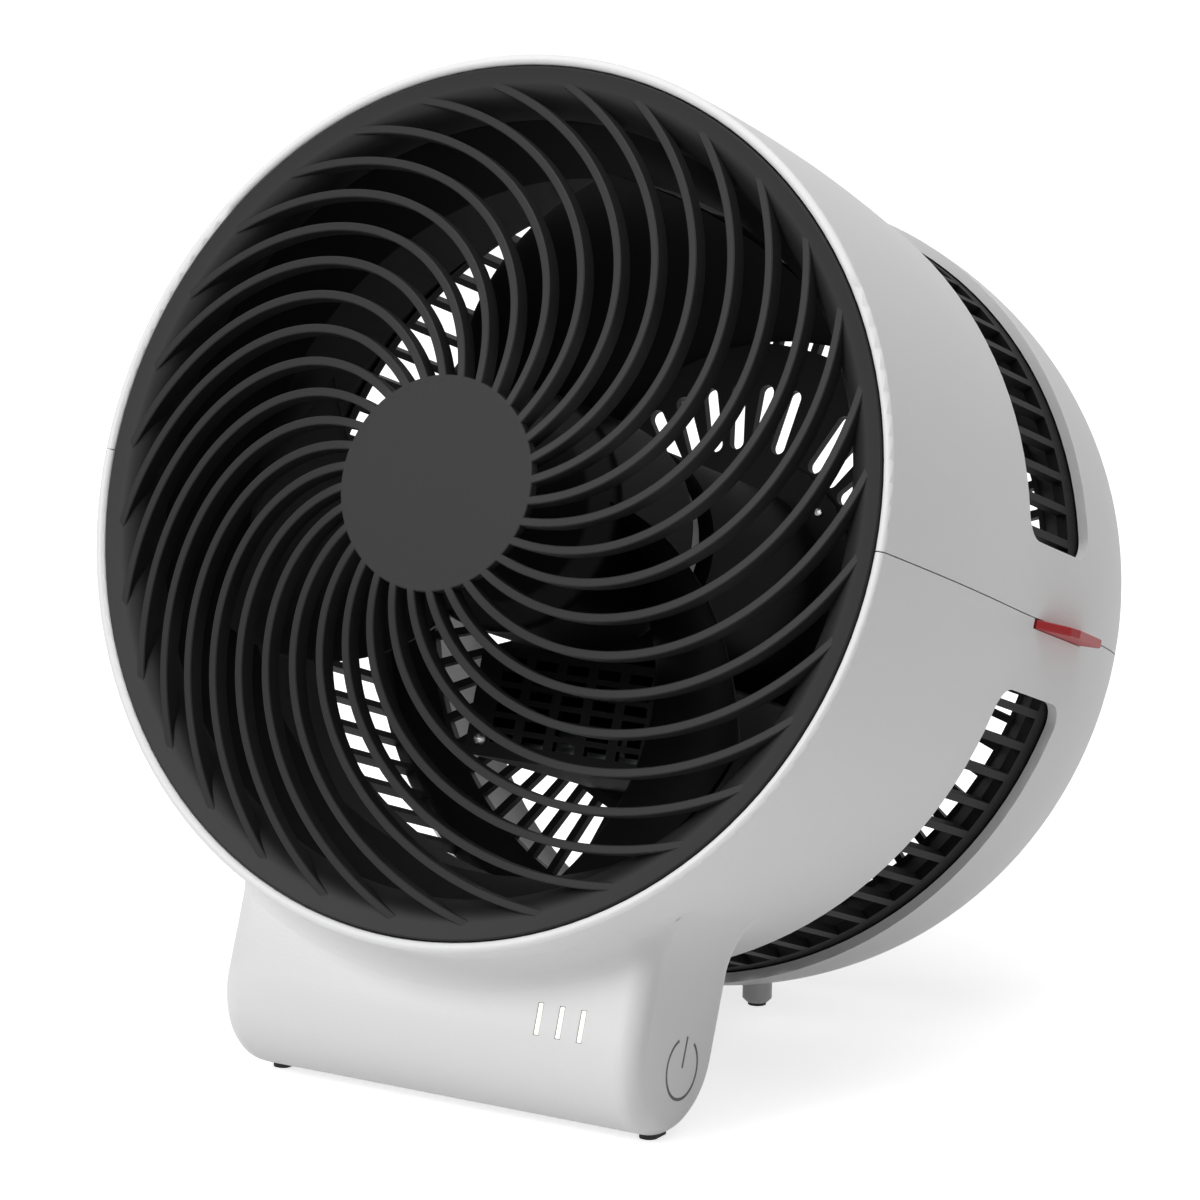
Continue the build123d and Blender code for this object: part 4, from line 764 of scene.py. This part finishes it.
class FAN_OT_seal(bpy.types.Operator):
    """Black foam strip that closes the gap between the basket and the housing behind the slots"""

    bl_idname = "fan.seal"
    bl_label = "Seal"

    def execute(self, context):
        foam = moulded_plastic("seal_foam", context.scene.fan_colours.inner, 0.85, grain=1500.0, depth=0.00006,
                               specular=0.1)
        # the strip lies between the basket's corner and the housing's wall: radii and depths
        basket, wall, front, rear = 109.4, 110.74, 141.5, 144.6
        section = rounded([(basket, front + 0.5), (basket + 0.8, front), (wall, front + 0.2),
                           (wall - 0.04, rear), (basket - 0.8, rear)], [0.2, 0.2, 0.2, 0.3, 0.3], 3)
        points, faces = lathe(section, segments=256)
        make_piece("slot_seal", points, faces, foam, "housing", "black_inner")
        return {"FINISHED"}


class FAN_OT_levers(bpy.types.Operator):
    """Red release levers with rounded edges and their pivot eyes"""

    bl_idname = "fan.levers"
    bl_label = "Levers"

    def execute(self, context):
        sizes = context.scene.fan_levers
        finish = moulded_plastic("lever_plastic", context.scene.fan_colours.lever, 0.4, grain=3000.0,
                                 depth=0.00001, variation=0.03, specular=0.4)
        for node, side, body in (("latch_right", 1, "right_lever"), ("latch_left", -1, "left_lever")):
            points, faces = self.lever(sizes, side)
            make_piece(f"{node}_tab", points, faces, finish, body, "red_plastic", [node], sharp=60.0)
        return {"FINISHED"}

    def lever(self, sizes, side):
        """Flat plate of a closed outline, drawn sideways and in depth, with an eye and a hole.
        Its edges follow a quarter circle: inset = edge * (1 - sin a), drop = edge * (1 - cos a)."""
        inner, front, rear, tip = sizes.inner, sizes.front, sizes.rear, sizes.reach
        pivot_side, pivot_depth = sizes.pivot_side, sizes.pivot_depth
        reach = math.sqrt(sizes.eye ** 2 - (inner - pivot_side) ** 2)
        half = math.acos((inner - pivot_side) / sizes.eye)
        around = np.linspace(half, FULL_TURN - half, 16)[1:-1]
        eye = np.stack([pivot_side + sizes.eye * np.cos(around), pivot_depth + sizes.eye * np.sin(around)], -1)
        # the outer edge starts where the front edge's slope ends, bulges and draws in to the rear
        slope_end, front_lean, start_in, bulge, rear_in = front + sizes.slope, 0.3, 1.0, 4.0, 1.4
        plate = rounded([(inner, pivot_depth - reach), (inner + front_lean, front), (sizes.wall, front),
                         (tip - start_in, slope_end), (tip, slope_end + bulge), (tip - rear_in, rear),
                         (inner, rear), (inner, pivot_depth + reach)],
                        [0.0, 0.02, 0.3, 0.6, 1.0, 1.2, 0.3, 0.0], 5)
        shortest = 0.004  # a corner without a round gives points that coincide
        keep = np.linalg.norm(np.roll(plate, -1, axis=0) - plate, axis=1) > shortest
        outline = np.concatenate([plate[keep], eye])
        turn = np.linspace(0, np.pi / 2, 5)
        inset, height = sizes.edge * (1 - np.sin(turn)), sizes.edge * (1 - np.cos(turn))
        insets = np.concatenate([inset, inset[::-1]])
        heights = np.concatenate([-height, height[::-1] - sizes.thickness]) + sizes.top
        rings = np.stack([self.shrunk(outline, v) for v in insets])
        skin = place(side * rings[..., 0], heights[:, None], rings[..., 1])
        sides = 24
        angle = even_angles(sides)
        ends = np.array([[sizes.top], [sizes.top - sizes.thickness]])
        bore = np.stack([pivot_side + sizes.bore * np.cos(angle), pivot_depth + sizes.bore * np.sin(angle)], -1)
        hole = place(side * bore[:, 0], ends, bore[:, 1])
        rows, count = rings.shape[:2]
        faces = grid_quads(rows, count, False, True).tolist()
        base = rows * count
        faces += (grid_quads(2, sides, False, True) + base).tolist()
        # the flat faces lie between the outline and the hole
        for row, start in ((0, base), (rows - 1, base + sides)):
            loops = [[Vector((*p, 0)) for p in loop] for loop in (rings[row], bore)]
            index = list(range(row * count, row * count + count)) + list(range(start, start + sides))
            faces += [tuple(index[v] for v in face) for face in tessellate_polygon(loops)]
        return np.concatenate([skin.reshape(-1, 3), hole.reshape(-1, 3)]), faces

    def shrunk(self, outline, distance):
        """A closed outline moved inwards by a distance, along the mean normal at each point."""
        step = np.roll(outline, -1, axis=0) - np.roll(outline, 1, axis=0)
        normal = np.stack([step[:, 1], -step[:, 0]], -1)
        normal /= np.linalg.norm(normal, axis=1, keepdims=True)
        area = (outline[:, 0] * np.roll(outline[:, 1], -1) - outline[:, 1] * np.roll(outline[:, 0], -1)).sum()
        return outline - normal * distance * np.sign(area)


class FAN_OT_screws(bpy.types.Operator):
    """Pan-head screws with cross recesses in place of the plain ones"""

    bl_idname = "fan.screws"
    bl_label = "Screws"

    SHANK, HEAD = 1.1, 2.0  # radii
    SIDES = 48
    RIM_HEIGHT, RISE = 0.5, 1.4  # heights of the head's edge and of its middle
    ARM, ARM_REACH, RECESS = 0.34, 1.15, 0.7  # half width, reach and depth of the cross's arms
    DOME = (1.85, 1.6, 1.3, 1.1, 0.95, 0.8, 0.65, 0.5, 0.35, 0.2, 0.0)  # radii of the rings on the head

    def execute(self, context):
        zinc = brushed_metal("zinc_screw", (0.60, 0.60, 0.61), 0.36, (1.0, 1.0, 1.0))
        # by node: places to the side and up, depth of the head's seat and of the shank's end, and
        # 1 where the head looks to the rear of the fan or -1 to its front
        groups = {
            "motor_screws": (self.on_circle(35.5, [45, 135, 225, 315]), 150.0, 144.3, 1),
            "basket_screws": (self.on_circle(104.2, [-16, -64, -116, -164]), 96.2, 86.2, 1),
            "foot_cover_screws": ([(-48.5, -130.5), (48.5, -130.5)], 68.0, 57.2, 1),
            "vent_cover_screws": ([(-28.6, -58.1), (28.6, -58.1)], 73.0, 81.0, -1),
        }
        for node, (spots, seat, end, back) in groups.items():
            screws = [self.screw(x, up, seat, end, back) for x, up in spots]
            name = node.replace("_screws", "_pan_screws")
            make_piece(name, *joined(*screws), zinc, "housing", "zinc_steel", [node], sharp=35.0)
        return {"FINISHED"}

    def on_circle(self, radius, angles):
        """Places at a radius and at angles in degrees about the fan axis."""
        return [(radius * math.cos(a), radius * math.sin(a)) for a in np.radians(angles)]

    def screw(self, x, up, seat, end, back):
        """Screw along the fan axis as rings of points: shank from its end, then a domed head.
        Height of the head = rim + (rise - rim) * (1 - (r / R) ** 3), less a cross with sloping edges."""
        turn = even_angles(self.SIDES)
        shank, head, rim = self.SHANK, self.HEAD, self.RIM_HEIGHT
        tip, tip_length, side_slope, end_slope = 0.6, 0.6, 0.1, 0.12
        rings = [(0.0, end), (tip, end), (shank, end - back * tip_length), (shank, seat),
                 (head, seat), (head, seat + back * rim)]
        rows = [(np.full(self.SIDES, r), np.full(self.SIDES, d)) for r, d in rings]
        for radius in self.DOME:
            dome = rim + (self.RISE - rim) * (1 - (radius / head) ** 3)
            # distance to the nearer arm of the cross, and how deep the recess is there
            arm = radius * np.minimum(np.abs(np.sin(turn)), np.abs(np.cos(turn)))
            inside = np.clip((self.ARM - arm) / side_slope, 0, 1)
            inside *= np.clip((self.ARM_REACH - radius) / end_slope, 0, 1)
            rows.append((np.full(self.SIDES, radius), seat + back * (dome - self.RECESS * inside)))
        radius = np.stack([r for r, _ in rows])
        depth = np.stack([d for _, d in rows])
        points = place(x + radius * np.cos(turn), up + radius * np.sin(turn), depth)
        return points.reshape(-1, 3), grid_quads(len(rows), self.SIDES, False, True).tolist()


class FAN_PT_panel(bpy.types.Panel):
    """Fan settings and steps"""

    bl_idname = "FAN_PT_panel"
    bl_label = "Air circulator fan"
    bl_space_type = "VIEW_3D"
    bl_region_type = "UI"
    bl_category = "Fan"

    def draw(self, context):
        for operator in OPERATORS:
            self.layout.operator(operator.bl_idname)
        for group in GROUPS:
            box = self.layout.box()
            settings = getattr(context.scene, group)
            for name in settings.bl_rna.properties.keys():
                if name not in ("rna_type", "name"):
                    box.prop(settings, name)


OPERATORS = [FAN_OT_studio, FAN_OT_finishes, FAN_OT_front_grille, FAN_OT_impeller,
             FAN_OT_light_bars, FAN_OT_seal, FAN_OT_levers, FAN_OT_screws]


def register():
    """Registers settings, operators and the panel."""
    for group in GROUPS.values():
        bpy.utils.register_class(group)
    for name, group in GROUPS.items():
        setattr(bpy.types.Scene, name, PointerProperty(type=group))
    for operator in OPERATORS:
        bpy.utils.register_class(operator)
    bpy.utils.register_class(FAN_PT_panel)


def unregister():
    """Removes what register added."""
    bpy.utils.unregister_class(FAN_PT_panel)
    for operator in reversed(OPERATORS):
        bpy.utils.unregister_class(operator)
    for name, group in GROUPS.items():
        delattr(bpy.types.Scene, name)
        bpy.utils.unregister_class(group)


def main():
    """Dresses the fan."""
    register()
    for operator in OPERATORS:
        area, call = operator.bl_idname.split(".")
        getattr(getattr(bpy.ops, area), call)()


if __name__ == "__main__":
    main()
